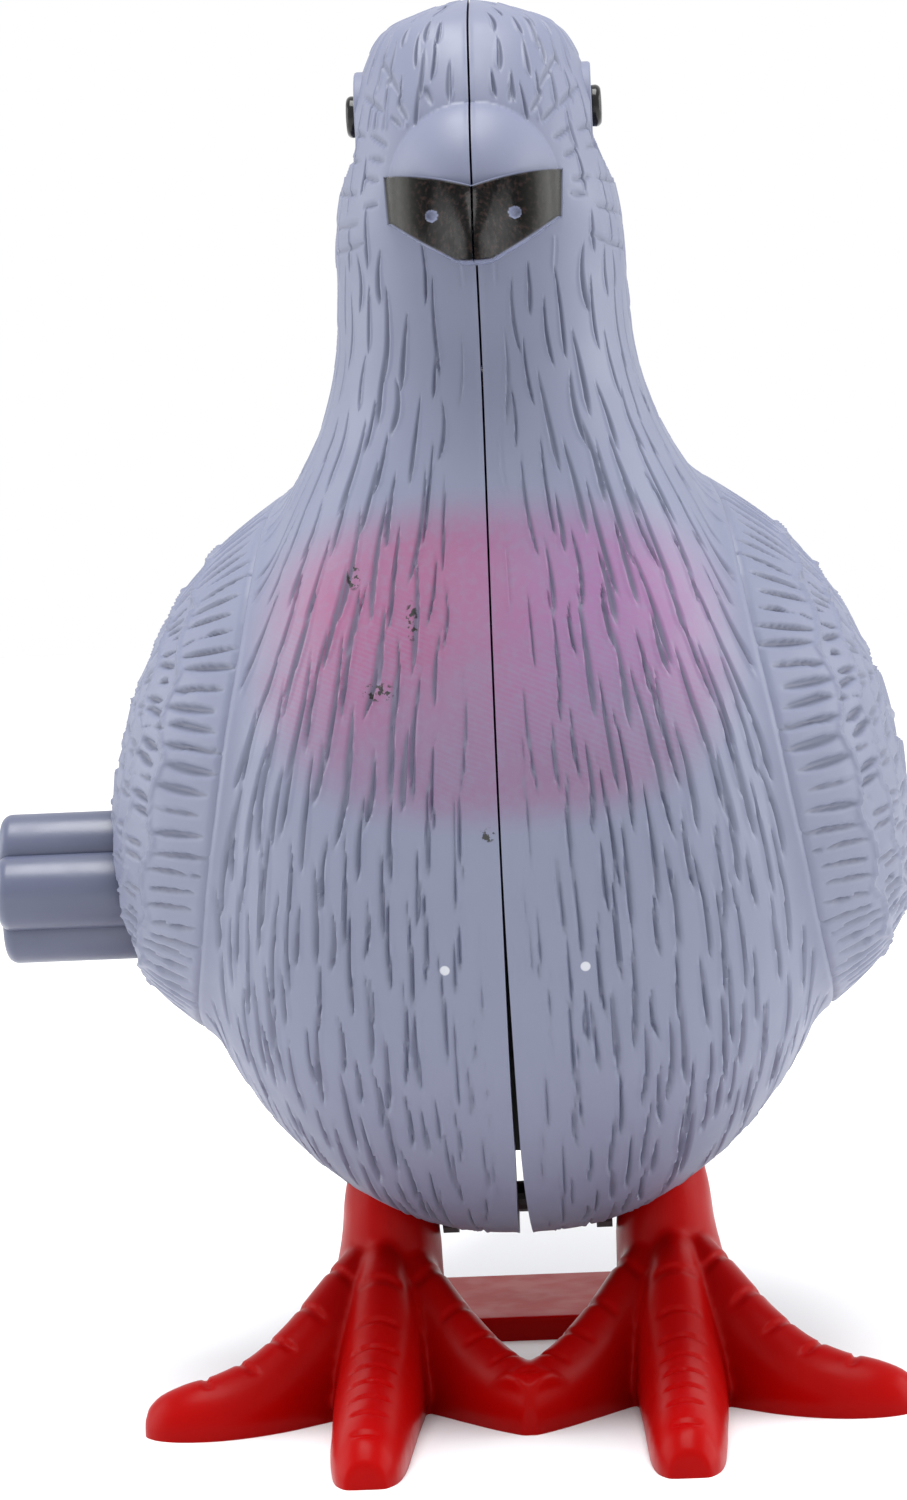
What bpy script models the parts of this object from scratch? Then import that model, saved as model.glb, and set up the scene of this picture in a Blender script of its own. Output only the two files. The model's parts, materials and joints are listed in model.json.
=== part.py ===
"""Wind-up hopping pigeon.

Two hollow body shells are screwed together around a small clockwork motor.  The motor's crank rocks a
one-piece pair of feet about an axle under the belly, which makes the bird hop.

Axes: the bird looks along -Y, its left side is +X and up is +Z.  The origin is on the flat sole, where the
two inner toes meet on the plane that parts the two shells.  Lengths below are in millimetres, and MM turns
them into Blender's metres.
"""
import math

import bmesh
import bpy
import numpy as np
from mathutils import Matrix
from mathutils import Vector

MM = 0.001

# --- body shells -----------------------------------------------------------------------------------------
# The body is a stack of slanted oval sections from the crown, down the neck, to the tail.  Each section
# runs from a point on the throat, breast and belly line to a point on the nape and back line.
# front y, front z, back y, back z, half width
SECTIONS = (
    (3.0, 87.2, 3.0, 87.2, 0.0),
    (-0.6, 86.4, 6.6, 86.3, 2.8),
    (-3.8, 84.6, 9.4, 84.3, 5.5),
    (-6.2, 81.5, 11.2, 80.9, 6.7),
    (-7.4, 77.8, 12.2, 76.8, 7.7),
    (-7.4, 73.8, 12.9, 72.4, 8.6),
    (-6.6, 69.6, 13.8, 68.2, 8.8),
    (-6.2, 65.4, 15.4, 64.4, 9.2),
    (-6.9, 60.8, 18.0, 60.9, 10.5),
    (-8.8, 55.0, 22.0, 57.6, 13.2),
    (-11.0, 48.0, 27.0, 54.4, 16.3),
    (-12.0, 39.5, 32.5, 51.2, 19.5),
    (-10.6, 30.0, 38.0, 48.2, 21.6),
    (-6.0, 20.6, 43.5, 45.4, 21.9),
    (2.0, 12.6, 49.0, 42.8, 19.2),
    (13.0, 9.6, 54.4, 40.4, 14.8),
    (27.0, 12.0, 60.0, 38.4, 14.0),
    (41.0, 18.6, 66.0, 36.6, 12.4),
    (54.5, 24.6, 72.0, 34.9, 10.8),
    (67.5, 28.8, 78.0, 33.2, 10.6),
    (79.5, 30.4, 83.0, 32.2, 10.2),
)
SECTION_POWER = 2.25          # exponent of the oval: 2 is an ellipse, more is squarer
BODY_ROWS = 38
BODY_COLUMNS = 26
WALL = 1.3
CAVITY_FIRST = 0.9            # sections between which the body is hollow
CAVITY_LAST = 17.2
CAVITY_ROWS = 22
CAVITY_COLUMNS = 18

# Side outline of the folded wing, (y, z), shoulder first, down its front edge, along to the tip and back.
WING_OUTLINE = (
    (12, 57.5), (5, 55.5), (0.4, 51.5), (-2.4, 44.5), (-2, 36.5), (1.6, 29.1), (7.5, 24.9), (16, 23.3),
    (30, 24.7), (48, 28.5), (64, 32.2), (72, 33.4), (66, 36.2), (54, 42), (41, 49), (29, 54.5), (20, 57.5),
)
WING_HEIGHT = 3.0             # how far the wing stands out from the flank
WING_RISE = 8.0               # width of the rounded rise inside the wing's outline

PARTING_GAP_TOP = 0.32        # gap between the shells at the crown and at the sole's height
PARTING_GAP_LOW = 0.9
CROWN_Z = 87.2

BEAK_STATIONS = (             # y, centre z, half width, half height
    (-3.0, 74.5, 5.2, 2.3),
    (-7.8, 74.4, 5.2, 2.1),
    (-9.8, 73.8, 4.0, 2.3),
    (-11.5, 72.9, 2.6, 1.9),
    (-12.7, 72.0, 1.3, 1.2),
)
BEAK_SIDES = 16

EYE = (1.6, 79.9)             # y, z of both eyes
EYE_PAD_RADIUS = 2.65
EYE_PAD_FACE = 7.1            # x of the raised pad around each eye
EYE_SEAT = 6.4                # x of the floor of the round recess that the bead sits in
EYE_RADIUS = 1.25
EYE_TIP = 7.65                # x of the bead's crown
EYE_STEM_RADIUS = 0.8
EYE_STEM_END = 5.4
FIT = 0.35                    # radial clearance of pins in holes, and gap between faces that meet

SHELL_SCREWS = ((4.5, 64.0), (27.0, 47.0), (36.0, 26.0))   # y, z of the screws that join the shells
SHELL_BOSS_RADIUS = 2.4
SHELL_SCREW_HEAD_X = 5.0      # x of the underside of the screw heads in the left shell
MOTOR_PEGS = ((11.5, 39.0), (24.5, 34.8))                  # y, z of pegs that hold the motor in each shell
MOTOR_PEG_RADIUS = 1.8

BELLY_OPENING = ((-12.5, 9.9, -5.0), (12.5, 31.5, 16.3))   # box cut out of the belly for legs and levers

# --- clockwork motor -------------------------------------------------------------------------------------
MOTOR_HALF = 5.4              # x of the outer faces of the motor's side plates
PLATE = 1.0
WIND_AXIS = (12.0, 33.0)      # y, z of each arbor
SECOND_AXIS = (19.2, 29.3)
CRANK_AXIS = (20.4, 21.7)
GOVERNOR_AXIS = (15.9, 19.75)
FOOT_AXIS = (13.0, 11.8)

MODULE = 0.4                  # gear tooth size: pitch diameter over number of teeth
ADDENDUM = 0.80               # tooth height outside the pitch circle, in modules
DEDENDUM = 1.20
BACKLASH = 0.07
PRESSURE_ANGLE = math.radians(20)
GREAT_TEETH = 30
SECOND_PINION_TEETH = 10
SECOND_WHEEL_TEETH = 28
CRANK_PINION_TEETH = 10
CRANK_WHEEL_TEETH = 16
GOVERNOR_TEETH = 8

WIND_SHAFT_RADIUS = 1.1
ARBOR_RADIUS = 0.6
GREAT_X = (-0.9, 0.2)         # x range of each wheel between the plates
SECOND_PINION_X = (-1.2, 0.75)
SECOND_WHEEL_X = (0.75, 1.6)
CRANK_PINION_X = (0.4, 2.3)
CRANK_WHEEL_X = (2.3, 3.2)
GOVERNOR_PINION_X = (2.0, 3.5)
FLYWHEEL_X = (-2.5, -0.5)
FLYWHEEL_RADIUS = 3.0
FLYWHEEL_FLAT = 1.9           # half width between the flywheel's two flats
SPRING_X = (-4.05, -1.25)
SPRING_TURNS = 5.0
SPRING_INNER = 1.55
SPRING_OUTER = 5.8
SPRING_STRIP = 0.22           # thickness of the spring's steel strip
SPRING_STEPS_PER_TURN = 16

MOTOR_FRONT = 4.3             # y and z of the tray's walls
MOTOR_BACK = 27.6
MOTOR_BOTTOM = 16.3
MOTOR_TOP = 41.4
MOTOR_BOSSES = ((6.9, 39.5), (25.8, 39.4), (25.8, 18.1), (6.9, 18.2))
MOTOR_BOSS_RADIUS = 1.3
MOTOR_SCREW_RADIUS = 0.5
LUG_HALF = 2.2                # half width of the lugs that hold the foot axle

KNOB_X = (-32.3, -23.6)
KNOB_LOBE = 4.75              # radius over the lobes, and in the grooves between them
KNOB_GROOVE = 3.3
KNOB_LOBES = 4
KNOB_EDGE = 0.8
KNOB_BOSS_RADIUS = 5.1        # flat round boss on the right wing that the knob turns against
KNOB_BOSS_X = -23.3

CRANK_THROW = 1.0
CRANK_DISC_X = (5.8, 6.8)
CRANK_DISC_RADIUS = 2.3
CRANK_PIN_RADIUS = 0.6
CRANK_PIN_END = 8.9

# --- feet ------------------------------------------------------------------------------------------------
FOOT_AXLE_RADIUS = 1.0
FOOT_AXLE_END = 11.2
LEVER_X = (7.2, 8.7)
LEVER_HOLE = 3.1              # window round the crank pin, wide enough for every crank and foot angle
LEVER_RING = 4.6
LEVER_BAR_HALF = 1.9
# x, y, z, radius across, radius along; from the pivot eye down into the foot
LEG = (
    (8.8, 13.0, 14.7, 1.5, 1.5),
    (8.8, 13.0, 14.1, 2.4, 2.4),
    (8.8, 13.0, 12.2, 2.9, 2.9),
    (8.8, 13.0, 9.6, 3.2, 3.1),
    (9.1, 13.1, 6.6, 3.6, 3.4),
    (9.4, 13.4, 3.6, 4.2, 3.8),
    (9.5, 13.6, -1.2, 4.7, 4.2),
)
# x, y, half width, height; each toe stands on the ground and starts inside the leg
OUTER_TOE = ((9.6, 11.9, 2.9, 10.0), (11.2, 10.2, 2.8, 9.4), (12.8, 8.6, 2.7, 7.9), (14.6, 6.9, 2.6, 6.1),
             (16.8, 5.1, 2.6, 4.5), (19.2, 3.9, 2.5, 3.6), (21.3, 3.7, 2.3, 3.1), (22.8, 4.1, 1.7, 2.4),
             (23.6, 4.4, 0.8, 1.6))
MIDDLE_TOE = ((9.2, 11.0, 2.8, 10.4), (9.2, 8.2, 2.8, 9.2), (9.3, 5.6, 2.8, 6.9), (9.4, 2.0, 2.7, 5.2),
              (9.4, -3.0, 2.5, 4.3), (9.4, -7.6, 2.3, 3.6), (9.4, -10.2, 1.9, 2.8), (9.4, -11.5, 1.2, 1.6))
INNER_TOE = ((9.0, 11.8, 2.8, 10.2), (6.8, 10.4, 2.7, 9.0), (4.6, 8.3, 2.5, 6.6), (2.4, 5.6, 2.4, 4.8),
             (0.7, 3.5, 2.3, 4.0), (-0.4, 2.4, 2.3, 3.8),
             (-1.6, 1.2, 2.3, 3.6))
HEEL_TOE = ((9.4, 12.4, 3.4, 6.4), (9.4, 17.5, 3.1, 4.0), (9.4, 23.5, 2.8, 2.6), (9.4, 30.0, 2.6, 2.2),
            (9.4, 36.4, 2.4, 2.0), (9.4, 38.8, 1.4, 1.4))
REAR_PLATE = ((-9.4, 23.8, -1.2), (9.4, 38.0, 1.6))
SOLE_TRIM = 1.2               # the feet are shaped this far below the ground, then cut level at z = 0
TOE_ARCH_POINTS = 8

# --- colours ---------------------------------------------------------------------------------------------
SLATE = (0.335, 0.365, 0.455)
KNOB_SLATE = (0.20, 0.225, 0.33)
BEAD_BLACK = (0.008, 0.008, 0.009)
MOTOR_BLACK = (0.018, 0.018, 0.02)
FOOT_RED = (0.52, 0.004, 0.006)
STEEL = (0.46, 0.46, 0.47)
SPRING_BLUE = (0.20, 0.22, 0.26)
GEAR_WHITE = (0.78, 0.77, 0.72)


# --- small modelling tools -------------------------------------------------------------------------------
def clear_scene():
    for old in list(bpy.data.objects):
        bpy.data.objects.remove(old, do_unlink=True)


def plastic(name, colour, roughness=0.45, metallic=0.0):
    """A plain Principled material; steel takes a metallic of 1."""
    made = bpy.data.materials.new(name)
    made.use_nodes = True
    shader = made.node_tree.nodes["Principled BSDF"]
    shader.inputs["Base Color"].default_value = (*colour, 1.0)
    shader.inputs["Roughness"].default_value = roughness
    shader.inputs["Metallic"].default_value = metallic
    made.diffuse_color = (*colour, 1.0)
    return made


def make_object(name, mesh_data, place=(0, 0, 0)):
    """Turn a bmesh in millimetres into an object whose origin is at place, also in millimetres."""
    bmesh.ops.remove_doubles(mesh_data, verts=mesh_data.verts, dist=1e-4)
    bmesh.ops.recalc_face_normals(mesh_data, faces=mesh_data.faces)
    bmesh.ops.scale(mesh_data, vec=Vector((MM, MM, MM)), verts=mesh_data.verts)
    mesh = bpy.data.meshes.new(name)
    mesh_data.to_mesh(mesh)
    mesh_data.free()
    made = bpy.data.objects.new(name, mesh)
    made.location = Vector(place) * MM
    bpy.context.scene.collection.objects.link(made)
    bpy.context.view_layer.update()
    return made


def finish(made, material, sharp_degrees=35):
    """Give an object its material and shade its round faces smooth."""
    made.data.materials.clear()
    made.data.materials.append(material)
    made.data.shade_smooth()
    made.data.set_sharp_from_angle(angle=math.radians(sharp_degrees))
    return made


def combine(target, tool, operation="DIFFERENCE"):
    """Apply a Boolean of tool to target, keep the result in target and drop the tool."""
    bpy.context.view_layer.update()
    step = target.modifiers.new("combine", "BOOLEAN")
    step.operation = operation
    step.solver = "EXACT"
    step.object = tool
    graph = bpy.context.evaluated_depsgraph_get()
    result = bpy.data.meshes.new_from_object(target.evaluated_get(graph))
    target.modifiers.clear()
    target.data = result
    bpy.data.objects.remove(tool, do_unlink=True)
    return target


def duplicate(source, name):
    made = bpy.data.objects.new(name, source.data.copy())
    made.location = source.location
    bpy.context.scene.collection.objects.link(made)
    return made


def loft(rings, closed_ends=True):
    """Skin a list of equally long point rings, and cap both ends."""
    mesh_data = bmesh.new()
    rows = [[mesh_data.verts.new(point) for point in ring] for ring in rings]
    count = len(rows[0])
    for low, high in zip(rows, rows[1:]):
        for i in range(count):
            j = (i + 1) % count
            mesh_data.faces.new((low[i], low[j], high[j], high[i]))
    if closed_ends:
        mesh_data.faces.new(list(reversed(rows[0])))
        mesh_data.faces.new(rows[-1])
    return mesh_data


def circle(radius, segments, phase=0.0):
    return [(radius * math.cos(phase + math.tau * i / segments),
             radius * math.sin(phase + math.tau * i / segments)) for i in range(segments)]


def prism(outline, x_range):
    """Extrude a (y, z) outline along X."""
    return loft([[(x, y, z) for y, z in outline] for x in x_range])


def turned(profile, segments=20):
    """Turn an (x, radius) profile about the X axis; a radius of 0 closes an end in a point."""
    return loft([[(x, y, z) for y, z in circle(max(radius, 1e-5), segments)] for x, radius in profile],
                closed_ends=True)


def box(low, high):
    mesh_data = bmesh.new()
    bmesh.ops.create_cube(mesh_data, size=1.0)
    size = Vector(high) - Vector(low)
    middle = (Vector(high) + Vector(low)) / 2
    bmesh.ops.transform(mesh_data, matrix=Matrix.Translation(middle) @ Matrix.Diagonal((*size, 1.0)),
                        verts=mesh_data.verts)
    return mesh_data


def rod(x_range, axis, radius, segments=16):
    """A plain round pin or hole cutter along X at (y, z)."""
    return make_object("rod", turned([(x_range[0], radius), (x_range[1], radius)], segments),
                       (0, axis[0], axis[1]))


# --- the body's outer form -------------------------------------------------------------------------------
def catmull_rom(points, t, closed=False):
    """Smooth curve through points at parameters t, counted in points."""
    points = np.asarray(points, float)
    if closed:
        padded = np.vstack([points[-1:], points, points[:2]])
        last = len(points)
    else:
        padded = np.vstack([2 * points[0] - points[1], points, 2 * points[-1] - points[-2]])
        last = len(points) - 1
    t = np.clip(t, 0, last - 1e-9)
    i = t.astype(int)
    f = (t - i)[:, None]
    a, b, c, d = padded[i], padded[i + 1], padded[i + 2], padded[i + 3]
    return 0.5 * (2 * b + (c - a) * f + (2 * a - 5 * b + 4 * c - d) * f ** 2 + (3 * b - a - 3 * c + d) * f ** 3)


def wing_thickness(y, z):
    """How far the wing stands out at points of the side view."""
    outline = catmull_rom(WING_OUTLINE, np.arange(0, len(WING_OUTLINE), 0.25), closed=True)
    starts, ends = outline, np.roll(outline, -1, axis=0)
    distance = np.full(y.shape, 1e9)
    inside = np.zeros(y.shape, bool)
    for (y0, z0), (y1, z1) in zip(starts, ends):
        along = ((y - y0) * (y1 - y0) + (z - z0) * (z1 - z0)) / ((y1 - y0) ** 2 + (z1 - z0) ** 2)
        along = np.clip(along, 0, 1)
        distance = np.minimum(distance, np.hypot(y - y0 - along * (y1 - y0), z - z0 - along * (z1 - z0)))
        if z0 != z1:
            crossing = (y1 - y0) * (z - z0) / (z1 - z0) + y0
            inside ^= ((z0 > z) != (z1 > z)) & (y < crossing)
    rise = 1 - (1 - np.clip(distance / WING_RISE, 0, 1)) ** 2.4
    return WING_HEIGHT * np.where(inside, rise, 0)


def body_points(t, angles, with_wings=True):
    """Points of the body's surface at section parameters t and angles from the front line."""
    sections = catmull_rom(SECTIONS, t)
    front, back, half_width = sections[:, 0:2], sections[:, 2:4], np.maximum(sections[:, 4], 0)
    middle, reach = (front + back) / 2, (front - back) / 2
    cosine, sine = np.cos(angles), np.sin(angles)
    power = 2 / SECTION_POWER
    across = np.sign(sine) * np.abs(sine) ** power
    along = np.sign(cosine) * np.abs(cosine) ** power
    x = half_width[:, None] * across
    y = middle[:, 0:1] + reach[:, 0:1] * along
    z = middle[:, 1:2] + reach[:, 1:2] * along
    if with_wings:
        x = x + np.sign(across) * wing_thickness(y, z)
    return np.stack([x, y, z], axis=-1)


def inset(points, depth):
    """Move a grid of surface points inwards along its normals."""
    down = np.gradient(points, axis=0)
    round_about = np.roll(points, -1, axis=1) - np.roll(points, 1, axis=1)
    normal = np.cross(down, round_about)
    normal /= np.maximum(np.linalg.norm(normal, axis=-1, keepdims=True), 1e-9)
    centre = points.mean(axis=1, keepdims=True)
    outward = np.sign(((points - centre) * normal).sum(axis=-1, keepdims=True))
    return points - depth * outward * normal


def bird_solid():
    """The whole outer form: body with wings, beak and eye pads."""
    angles = np.arange(BODY_COLUMNS) * math.tau / BODY_COLUMNS
    t = np.linspace(0.0, len(SECTIONS) - 1, BODY_ROWS)
    t[0] = 0.03
    body = make_object("bird", loft(body_points(t, angles)))
    ring = circle(1.0, BEAK_SIDES)
    beak_rings = [[(w * a, y, z + h * b) for a, b in ring] for y, z, w, h in BEAK_STATIONS]
    combine(body, make_object("beak", loft(beak_rings)), "UNION")
    for side in (-1, 1):
        pad = turned([(side * 4.5, EYE_PAD_RADIUS), (side * (EYE_PAD_FACE - 0.25), EYE_PAD_RADIUS),
                      (side * EYE_PAD_FACE, EYE_PAD_RADIUS - 0.25)], 18)
        combine(body, make_object("pad", pad, (0, *EYE)), "UNION")
    return body


def half_space(side):
    """A block on one side of the parting gap, whose inner face leans so that the gap opens downwards."""
    reach = 60.0
    low_z, high_z = -10.0, CROWN_Z + 10.0
    slope = (PARTING_GAP_TOP - PARTING_GAP_LOW) / CROWN_Z
    ring = []
    for z in (low_z, high_z):
        inner = side * (PARTING_GAP_LOW + slope * z) / 2
        ring.append([(inner, -40, z), (inner, 120, z), (side * reach, 120, z), (side * reach, -40, z)])
    return make_object("side", loft(ring))


def cavity():
    """The hollow inside the body, with the moulded bosses and pegs left standing in it."""
    angles = np.arange(CAVITY_COLUMNS) * math.tau / CAVITY_COLUMNS
    t = np.linspace(CAVITY_FIRST, CAVITY_LAST, CAVITY_ROWS)
    hollow = make_object("hollow", loft(inset(body_points(t, angles, with_wings=False), WALL)))
    for centre in SHELL_SCREWS:
        combine(hollow, rod((-40, 40), centre, SHELL_BOSS_RADIUS, 14))
    for side in (-1, 1):
        inner = side * (MOTOR_HALF + FIT)
        for centre in MOTOR_PEGS:
            combine(hollow, rod(sorted((inner, side * 40)), centre, MOTOR_PEG_RADIUS, 12))
    return hollow


def body_shells(slate):
    bird = bird_solid()
    hollow = cavity()
    for side, name in ((-1, "body_shell_right"), (1, "body_shell_left")):
        shell = duplicate(bird, name)
        combine(shell, half_space(side), "INTERSECT")
        combine(shell, duplicate(hollow, "hollow_copy"))
        combine(shell, make_object("opening", box(*BELLY_OPENING)))
        combine(shell, rod(sorted((side * 4.0, side * 12)), EYE, EYE_STEM_RADIUS + FIT, 12))
        combine(shell, rod(sorted((side * EYE_SEAT, side * 12)), EYE, EYE_RADIUS + FIT, 16))
        for centre in SHELL_SCREWS:
            if side > 0:
                combine(shell, rod((-1, 40), centre, 0.75 + FIT, 12))
                combine(shell, rod((SHELL_SCREW_HEAD_X, 40), centre, 1.5 + FIT, 14))
            else:
                combine(shell, rod((-5.5, 1), centre, 0.75 + FIT, 12))
        if side < 0:
            combine(shell, rod((-40, KNOB_BOSS_X), WIND_AXIS, KNOB_BOSS_RADIUS + FIT, 28))
            combine(shell, rod((KNOB_BOSS_X, -21.0), WIND_AXIS, KNOB_BOSS_RADIUS, 28), "UNION")
            combine(shell, rod((-40, 0), WIND_AXIS, WIND_SHAFT_RADIUS + FIT, 16))
        finish(shell, slate, 30)
    bpy.data.objects.remove(bird, do_unlink=True)
    bpy.data.objects.remove(hollow, do_unlink=True)


def eyes(material):
    for side, name in ((-1, "eye_right"), (1, "eye_left")):
        base = EYE_SEAT + FIT
        rise = EYE_TIP - base
        dome = [(side * (base + rise * math.sin(a)), EYE_RADIUS * math.cos(a))
                for a in np.linspace(0, math.pi / 2, 6)]
        stem = [(side * EYE_STEM_END, EYE_STEM_RADIUS), (side * base, EYE_STEM_RADIUS)]
        finish(make_object(name, turned(stem + dome, 16), (0, *EYE)), material)


def screw(name, axis, head_x, tip_x, shank_radius, head_radius, material, segments=12):
    """A pan-head screw along X; its head is at head_x and its point at tip_x."""
    way = 1 if head_x > tip_x else -1
    head_height = head_radius * 0.7
    profile = [(tip_x, shank_radius * 0.25), (tip_x + way * shank_radius, shank_radius),
               (head_x, shank_radius), (head_x, head_radius), (head_x + way * head_height * 0.6, head_radius),
               (head_x + way * head_height, head_radius * 0.62)]
    made = make_object(name, turned(profile, segments), (0, *axis))
    slot_depth = head_height * 0.45
    top = head_x + way * head_height
    for size in ((0.14, 0.62), (0.62, 0.14)):
        y, z = size[0] * head_radius, size[1] * head_radius
        low = (min(top - way * slot_depth, top + way), axis[0] - y, axis[1] - z)
        high = (max(top - way * slot_depth, top + way), axis[0] + y, axis[1] + z)
        combine(made, make_object("slot", box(low, high)))
    return finish(made, material)


def shell_screws(material):
    for number, centre in enumerate(SHELL_SCREWS, 1):
        screw(f"shell_screw_{number}", centre, SHELL_SCREW_HEAD_X + FIT, -4.6, 0.75, 1.5, material)


# --- clockwork motor -------------------------------------------------------------------------------------
def gear_outline(teeth, phase):
    """Involute teeth; one tooth is centred on the angle phase."""
    pitch_radius = MODULE * teeth / 2
    base_radius = pitch_radius * math.cos(PRESSURE_ANGLE)
    tip_radius = pitch_radius + ADDENDUM * MODULE
    root_radius = pitch_radius - DEDENDUM * MODULE

    def involute(radius):
        angle = math.acos(min(1.0, base_radius / radius))
        return math.tan(angle) - angle

    half_tooth = math.pi / (2 * teeth) - BACKLASH / (2 * pitch_radius) + involute(pitch_radius)
    flank = [(radius, half_tooth - involute(max(radius, base_radius)))
             for radius in (root_radius, max(base_radius, root_radius + 0.05), pitch_radius, tip_radius)]
    outline = []
    for tooth in range(teeth):
        middle = phase + math.tau * tooth / teeth
        right = [(radius, middle - half) for radius, half in flank]
        left = [(radius, middle + half) for radius, half in reversed(flank)]
        outline += [(radius * math.cos(angle), radius * math.sin(angle)) for radius, angle in right + left]
    return outline


def mesh_phase(leader_axis, leader_teeth, leader_phase, follower_axis, follower_teeth):
    """Phase of a follower gear whose gaps face the leader's teeth."""
    direction = math.atan2(follower_axis[1] - leader_axis[1], follower_axis[0] - leader_axis[0])
    share = (direction - leader_phase) * leader_teeth / math.tau
    return direction + math.pi - (0.5 - share) * math.tau / follower_teeth


def bored(made, axis, radius):
    return combine(made, rod((-20, 20), axis, radius, 14))


def compound_gear(name, axis, pinion, wheel, bore, material):
    """A pinion and a wheel moulded in one piece; each is (teeth, phase, x_range)."""
    made = make_object(name, prism(gear_outline(pinion[0], pinion[1]), pinion[2]), (0, *axis))
    lap = 0.2
    x_low, x_high = wheel[2]
    combine(made, make_object("wheel", prism(gear_outline(wheel[0], wheel[1]), (x_low - lap, x_high)),
                              (0, *axis)), "UNION")
    return finish(bored(made, axis, bore), material)


def gear_train(material):
    great = make_object("great_gear", prism(gear_outline(GREAT_TEETH, 0.0), GREAT_X), (0, *WIND_AXIS))
    finish(bored(great, WIND_AXIS, WIND_SHAFT_RADIUS + FIT), material)
    second = mesh_phase(WIND_AXIS, GREAT_TEETH, 0.0, SECOND_AXIS, SECOND_PINION_TEETH)
    compound_gear("second_gear", SECOND_AXIS, (SECOND_PINION_TEETH, second, SECOND_PINION_X),
                  (SECOND_WHEEL_TEETH, 0.0, SECOND_WHEEL_X), ARBOR_RADIUS + FIT, material)
    crank = mesh_phase(SECOND_AXIS, SECOND_WHEEL_TEETH, 0.0, CRANK_AXIS, CRANK_PINION_TEETH)
    compound_gear("crank_gear", CRANK_AXIS, (CRANK_PINION_TEETH, crank, CRANK_PINION_X),
                  (CRANK_WHEEL_TEETH, 0.0, CRANK_WHEEL_X), ARBOR_RADIUS + FIT, material)
    governor = mesh_phase(CRANK_AXIS, CRANK_WHEEL_TEETH, 0.0, GOVERNOR_AXIS, GOVERNOR_TEETH)
    pinion = make_object("governor_pinion", prism(gear_outline(GOVERNOR_TEETH, governor), GOVERNOR_PINION_X),
                         (0, *GOVERNOR_AXIS))
    finish(bored(pinion, GOVERNOR_AXIS, ARBOR_RADIUS + 0.3), material)


def flywheel(material):
    """The governor's weight: a thick disc with two flats."""
    start = math.asin(FLYWHEEL_FLAT / FLYWHEEL_RADIUS)
    arc = np.linspace(-start, start, 8)
    outline = [(FLYWHEEL_RADIUS * math.cos(a + turn), FLYWHEEL_RADIUS * math.sin(a + turn))
               for turn in (0, math.pi) for a in arc]
    made = make_object("governor_flywheel", prism(outline, FLYWHEEL_X), (0, *GOVERNOR_AXIS))
    finish(bored(made, GOVERNOR_AXIS, ARBOR_RADIUS + FIT), material)


def arbors(material):
    """Steel pins that the wheels are pressed on."""
    inner = MOTOR_HALF + FIT
    plain = ((-inner, ARBOR_RADIUS), (inner, ARBOR_RADIUS))
    finish(make_object("second_arbor", turned(plain, 14), (0, *SECOND_AXIS)), material)
    finish(make_object("governor_arbor", turned(plain, 14), (0, *GOVERNOR_AXIS)), material)
    reach = CRANK_DISC_X[1] - 0.2
    finish(make_object("crank_arbor", turned(((-reach, ARBOR_RADIUS), (reach, ARBOR_RADIUS)), 14),
                       (0, *CRANK_AXIS)), material)
    shaft = [(KNOB_X[0] + 2.5, WIND_SHAFT_RADIUS), (inner, WIND_SHAFT_RADIUS)]
    finish(make_object("winding_shaft", turned(shaft, 16), (0, *WIND_AXIS)), material)


def mainspring(material):
    """Spiral steel strip, wound round the winding shaft."""
    steps = int(SPRING_TURNS * SPRING_STEPS_PER_TURN)
    rings = []
    for i in range(steps + 1):
        angle = math.tau * i / SPRING_STEPS_PER_TURN
        middle = SPRING_INNER + (SPRING_OUTER - SPRING_INNER) * i / steps
        rings.append([(x, (middle + offset) * math.cos(angle), (middle + offset) * math.sin(angle))
                      for x, offset in ((SPRING_X[0], -SPRING_STRIP / 2), (SPRING_X[1], -SPRING_STRIP / 2),
                                        (SPRING_X[1], SPRING_STRIP / 2), (SPRING_X[0], SPRING_STRIP / 2))])
    finish(make_object("mainspring", loft(rings), (0, *WIND_AXIS)), material)


def plate_outline():
    """Side plate of the motor, (y, z), with a rounded lug that reaches down to the foot axle."""
    y, z = FOOT_AXIS
    lug = [(y + LUG_HALF * math.cos(a), z + LUG_HALF * math.sin(a)) for a in np.linspace(0, -math.pi, 9)]
    return [(MOTOR_BACK, MOTOR_BOTTOM), (y + LUG_HALF, MOTOR_BOTTOM), *lug, (y - LUG_HALF, MOTOR_BOTTOM),
            (MOTOR_FRONT, MOTOR_BOTTOM), (MOTOR_FRONT, MOTOR_TOP - 1.5), (MOTOR_FRONT + 1.5, MOTOR_TOP),
            (MOTOR_BACK - 1.5, MOTOR_TOP), (MOTOR_BACK, MOTOR_TOP - 1.5)]


def bearing_holes(plate):
    combine(plate, rod((-20, 20), WIND_AXIS, WIND_SHAFT_RADIUS + FIT, 16))
    for axis in (SECOND_AXIS, CRANK_AXIS, GOVERNOR_AXIS):
        combine(plate, rod((-20, 20), axis, ARBOR_RADIUS + FIT, 14))
    combine(plate, rod((-20, 20), FOOT_AXIS, FOOT_AXLE_RADIUS + FIT, 16))


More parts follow.
